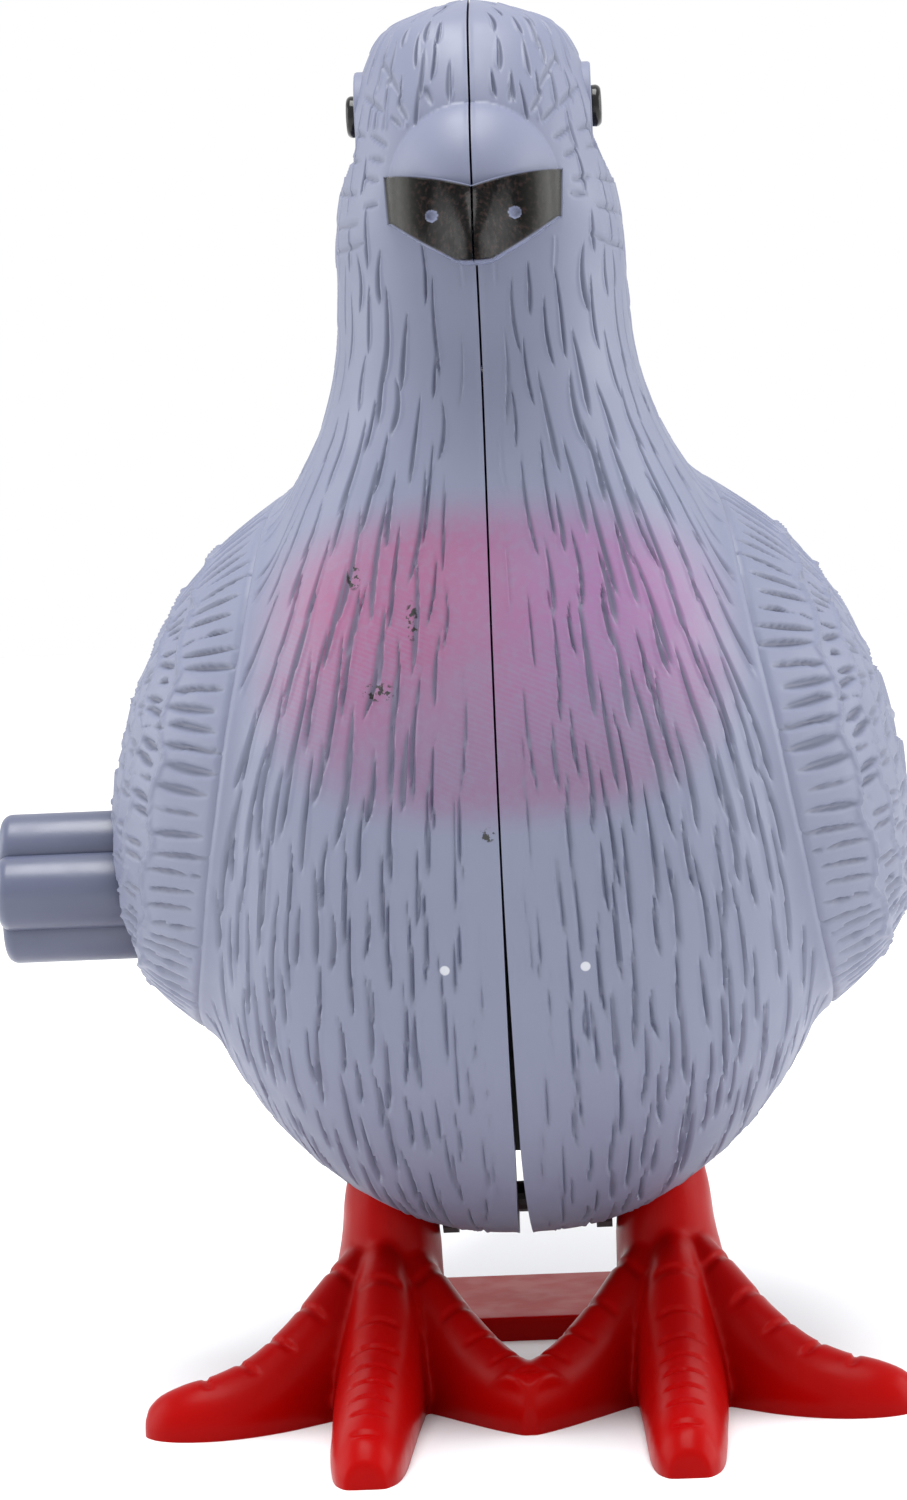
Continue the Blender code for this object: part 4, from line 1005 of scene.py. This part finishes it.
REAR_PLATE = ((-9.4, 23.8, -1.2), (9.4, 38.0, 1.6))
LEVER_X = (7.2, 8.7)
LEVER_HOLE = 3.1
LEVER_RING = 4.6
LEVER_BAR_HALF = 1.9
LEVER_EDGE = 0.15
AXLE_HOLE = 1.35
FORM_FLOOR = -1.2             # the forms run on below the ground, where the feet are cut off level
SOLE_SHARE = 0.9              # a toe's width at the sole, as a share of its width above
TOE_WAIST = 0.12
SCUTE_PITCH = 2.45            # spacing of the scales across the toes
SCUTE_DEPTH = 0.17
TOE_REACH = 2.6               # how much further forward the toes reach than the CAD model's
FOOT_VOXEL = 0.2


def toe_form(stations, side):
    """A toe with a narrow rounded ridge and spreading flanks."""
    t = np.linspace(0, len(stations) - 1, 40)
    path = catmull_rom(stations, t)
    spots = path[:, :2] * (side, 1)
    heading = np.gradient(spots, axis=0)
    heading /= np.linalg.norm(heading, axis=1, keepdims=True)
    arch = np.linspace(0, math.pi, 15)
    rings = []
    for (x, y), (dx, dy), (_, _, half, height) in zip(spots, heading, path):
        ring = [(half * SOLE_SHARE, FORM_FLOOR)]
        for a in arch:
            across = half * math.cos(a) * (1 - TOE_WAIST * math.sin(a))
            ring.append((across, 0.2 * height + 0.8 * height * math.sin(a) ** 0.9))
        ring.append((-half * SOLE_SHARE, FORM_FLOOR))
        rings.append([(x - dy * u, y + dx * u, v) for u, v in ring])
    vertices, faces = closed_rings(rings)
    return face_outwards(mesh_object("toe", vertices, faces, 0))


def leg_form(side):
    path = catmull_rom(LEG, np.linspace(0, len(LEG) - 1, 30))
    angles = np.arange(28) * math.tau / 28
    rings = []
    for x, y, z, rx, ry in path:
        rings.append([(side * x + rx * math.cos(a), y + ry * math.sin(a), z) for a in angles])
    vertices, faces = closed_rings(rings)
    return face_outwards(mesh_object("leg", vertices, faces, 0))


def scute_cuts(points, side):
    """Depth of the crescent scale edges along the ridges of the toes."""
    cuts = np.zeros(len(points))
    for stations, first, last in ((OUTER_TOE, 4.0, 1.6), (MIDDLE_TOE, 3.5, 1.2), (INNER_TOE, 3.5, 1.0)):
        path = catmull_rom(stations, np.linspace(0, len(stations) - 1, 60))
        route = path[:, :2] * (side, 1)
        gap, along = distance_to_path(points[:, 0], points[:, 1], [tuple(p) for p in route])
        length = np.linalg.norm(np.diff(route, axis=0), axis=1).sum()
        ridge = np.interp(along, np.linspace(0, length, 60), path[:, 3])
        half = np.interp(along, np.linspace(0, length, 60), path[:, 2])
        high = smooth_step(points[:, 2], ridge - 1.9, ridge - 0.9)
        spread = 1 - smooth_step(gap / half, 0.35, 0.62)
        where = along + 0.16 * gap ** 2
        share = (where / SCUTE_PITCH) % 1.0
        notch = groove_profile((share - 0.5) * SCUTE_PITCH / 0.34)
        inside = (along > first - 1.2) & (along < length - last)
        cuts = np.maximum(cuts, notch * high * spread * inside)
    return cuts * SCUTE_DEPTH


def build_feet(material):
    """Both feet, the plate between the heels and the drive levers, in one moulded piece."""
    forms = [cutter_box(*REAR_PLATE)]
    for side in (-1, 1):
        forms += [toe_form(stations, side) for stations in (HEEL_TOE, MIDDLE_TOE, OUTER_TOE, INNER_TOE)]
        forms.append(leg_form(side))
    data = bmesh.new()
    for form in forms:
        data.from_mesh(form.data)
        bpy.data.objects.remove(form, do_unlink=True)
    mesh = bpy.data.meshes.new("feet")
    data.to_mesh(mesh)
    data.free()
    feet = linked_object("feet", mesh)
    remesh = feet.modifiers.new("remesh", "REMESH")
    remesh.mode = "VOXEL"
    remesh.voxel_size = FOOT_VOXEL * MM
    soften = feet.modifiers.new("soften", "SMOOTH")
    soften.factor = 0.5
    soften.iterations = 14
    apply_modifiers(feet)
    count = len(feet.data.vertices)
    flat = np.empty(count * 3)
    feet.data.vertices.foreach_get("co", flat)
    points = flat.reshape(-1, 3) / MM
    normals = np.empty(count * 3)
    feet.data.vertex_normals.foreach_get("vector", normals)
    normals = normals.reshape(-1, 3)
    cuts = np.zeros(count)
    for side in (-1, 1):
        mine = points[:, 0] * side > 0
        cuts[mine] = scute_cuts(points[mine], side)
    points = points - normals * cuts[:, None]
    points[:, 1] -= TOE_REACH * smooth_step(points[:, 1], 13.0, 6.0)
    feet.data.vertices.foreach_set("co", (points * MM).ravel())
    feet.data.update()
    store_mask(feet, "groove", np.clip(cuts / 0.1, 0, 1))
    cut_away(feet, cutter_box((-60, -60, -10), (60, 60, 0)))
    feet.data.shade_smooth()
    feet.data.set_sharp_from_angle(angle=math.radians(55))
    finish_piece(feet, material, "feet", "foot_plastic", "foot_frame")
    for side in (-1, 1):
        build_lever(side, material)


def build_lever(side, material):
    """Arm from the foot's pivot up to a round window that surrounds the crank pin."""
    reach = np.array([CRANK_Y - FOOT_Y, CRANK_Z - FOOT_Z])
    length = np.linalg.norm(reach)
    along = reach / length
    across = np.array([-along[1], along[0]])
    outline = [(0, -LEVER_BAR_HALF)]
    start = math.asin(LEVER_BAR_HALF / LEVER_RING)
    sweep = np.linspace(-(math.pi - start), math.pi - start, 72)
    outline += [(length + LEVER_RING * math.cos(a), LEVER_RING * math.sin(a)) for a in sweep]
    outline += [(0, LEVER_BAR_HALF)]
    x_low, x_high = sorted((side * LEVER_X[0], side * LEVER_X[1]))
    rings = []
    for x, shrink in ((x_low, LEVER_EDGE), (x_low + LEVER_EDGE, 0.0), (x_high - LEVER_EDGE, 0.0),
                      (x_high, LEVER_EDGE)):
        ring = []
        for a, b in outline:
            scale = 1 - shrink / LEVER_RING
            spot = np.array([FOOT_Y, FOOT_Z]) + along * (length + (a - length) * scale) + across * b * scale
            ring.append((x, spot[0], spot[1]))
        rings.append(ring)
    vertices, faces = closed_rings(rings)
    lever = face_outwards(mesh_object(f"drive_lever_{side_name(side)}", vertices, faces, 30))
    hole = turned("hole", ((x_low - 1, LEVER_HOLE), (x_high + 1, LEVER_HOLE)), (CRANK_Y, CRANK_Z), 64, 0)
    cut_away(lever, hole)
    axle = turned("hole", ((x_low - 1, AXLE_HOLE), (x_high + 1, AXLE_HOLE)), (FOOT_Y, FOOT_Z), 40, 0)
    cut_away(lever, axle)
    lever.data.set_sharp_from_angle(angle=math.radians(30))
    finish_piece(lever, material, "feet", "foot_plastic", "foot_frame")


def dress_cad_nodes(finishes):
    """Give the CAD nodes that stay visible their materials."""
    for entry in frame["record"]["subparts"]:
        finish = finishes.get(entry["material_slot"])
        node = frame["nodes"].get(entry["node"])
        if finish is None or node is None:
            continue
        node.data.materials.clear()
        node.data.materials.append(finish)


# --- camera, floor and light -----------------------------------------------------------------------------
CAMERA_DISTANCE = 268.0
CAMERA_YAW = math.radians(2.2)
CAMERA_ROLL = math.radians(-2.6)
CAMERA_HEIGHT = 62.0
CAMERA_SIDE = -3.4
CAMERA_PITCH = math.radians(4.56424)
CAMERA_PIVOT_Y = WIND_Y + 1   # y of the point that the yaw swings the camera around
SENSOR_HEIGHT = 24.0
LENS = 67.744


def build_camera():
    position = Vector((CAMERA_DISTANCE * math.sin(CAMERA_YAW) + CAMERA_SIDE,
                       CAMERA_PIVOT_Y - CAMERA_DISTANCE * math.cos(CAMERA_YAW), CAMERA_HEIGHT))
    ahead = Vector((-math.sin(CAMERA_YAW) * math.cos(CAMERA_PITCH),
                    math.cos(CAMERA_YAW) * math.cos(CAMERA_PITCH), -math.sin(CAMERA_PITCH)))
    right = ahead.cross(Vector((0, 0, 1))).normalized()
    up = right.cross(ahead)
    rolled_right = right * math.cos(CAMERA_ROLL) + up * math.sin(CAMERA_ROLL)
    rolled_up = up * math.cos(CAMERA_ROLL) - right * math.sin(CAMERA_ROLL)
    turn = Matrix((rolled_right, rolled_up, -ahead)).transposed().to_4x4()
    lens = bpy.data.cameras.new("camera")
    lens.sensor_fit = "VERTICAL"
    lens.sensor_height = SENSOR_HEIGHT
    lens.lens = LENS
    lens.clip_start = 0.01
    lens.clip_end = 20.0
    camera = linked_object("camera", lens)
    camera.matrix_world = Matrix.Translation(position * MM) @ turn
    bpy.context.scene.camera = camera


FLOOR_HALF = 900
FLOOR_WHITE = (0.88, 0.88, 0.885)
FLOOR_SHADE = (0.87, 0.87, 0.88)
# painted light: the floor grows paler far from the bird, making up for the lamps' fall-off so it looks evenly
# white
FLOOR_FAR = (0.97, 0.97, 0.975)
LIGHT_TARGET = (0, 15, 45)
# name, position, size in millimetres and power in watts
LIGHTS = (("overhead", (-20, -70, 520), 320, 3.3), ("side_left", (-330, 40, 120), 260, 0.6),
          ("side_right", (330, 40, 120), 260, 0.75))


def build_stage():
    corners = [(x * FLOOR_HALF, y * FLOOR_HALF, 0) for x, y in ((-1, -1), (1, -1), (1, 1), (-1, 1))]
    floor = mesh_object("floor", corners, [(0, 1, 2, 3)], 0)
    n = Nodes("floor_white")
    distance = n.add("ShaderNodeVectorMath", operation="LENGTH")
    n.wire(n.object_place(), distance.inputs[0])
    near = n.mix(n.ramp(n.noise(3.0), 0.3, 0.7), FLOOR_WHITE, FLOOR_SHADE)
    # painted light: paler further out, where the lamps light the floor less
    n.wire(n.mix(n.ramp(distance.outputs["Value"], 0.15, 0.6), near, FLOOR_FAR),
           n.shader.inputs["Base Color"])
    n.shader.inputs["Roughness"].default_value = 0.7
    floor.data.materials.append(n.material)


def area_light(name, position, size, power):
    data = bpy.data.lights.new(name, "AREA")
    data.shape = "SQUARE"
    data.size = size * MM
    data.energy = power
    light = linked_object(name, data)
    light.location = Vector(position) * MM
    light.rotation_euler = (Vector(LIGHT_TARGET) - Vector(position)).to_track_quat("-Z", "Y").to_euler()


def build_lights():
    world = bpy.data.worlds.new("studio")
    world.use_nodes = True
    world.node_tree.nodes["Background"].inputs["Color"].default_value = (1, 1, 1, 1)
    world.node_tree.nodes["Background"].inputs["Strength"].default_value = 1.0
    bpy.context.scene.world = world
    bpy.context.scene.view_settings.view_transform = "Standard"
    for name, position, size, power in LIGHTS:
        area_light(name, position, size, power)


def main():
    build_camera()
    build_stage()
    build_lights()
    slate = shell_plastic()
    knob_blue = satin_plastic("knob_blue", (0.072, 0.082, 0.134), (0.066, 0.075, 0.125), 0.36)
    bead_black = satin_plastic("bead_black", (0.006, 0.006, 0.007), (0.006, 0.006, 0.007), 0.16,
                               grain=0.02, specular=0.3)
    foot_red = satin_plastic("foot_red", (0.29, 0.0006, 0.0005), (0.26, 0.0005, 0.0004), 0.34,
                             grain=0.1, specular=0.06)
    beak_dark = beak_paint()
    for side in (-1, 1):
        build_shell(side, slate)
        build_wing(side, slate)
        build_beak(side, beak_dark)
    build_eyes(slate, bead_black)
    build_knob(slate, knob_blue)
    build_feet(foot_red)
    dress_cad_nodes({
        "steel": steel("bright_steel", (0.5, 0.5, 0.51), 0.3),
        "spring_steel": steel("blued_steel", (0.2, 0.22, 0.27), 0.32),
        "motor_case": satin_plastic("motor_black", (0.018, 0.018, 0.02), (0.024, 0.024, 0.026), 0.42),
        "gear_plastic": satin_plastic("gear_white", (0.75, 0.74, 0.69), (0.7, 0.69, 0.63), 0.45),
        "knob_plastic": knob_blue, "eye_bead": bead_black, "foot_plastic": foot_red, "slate_shell": slate,
    })


main()
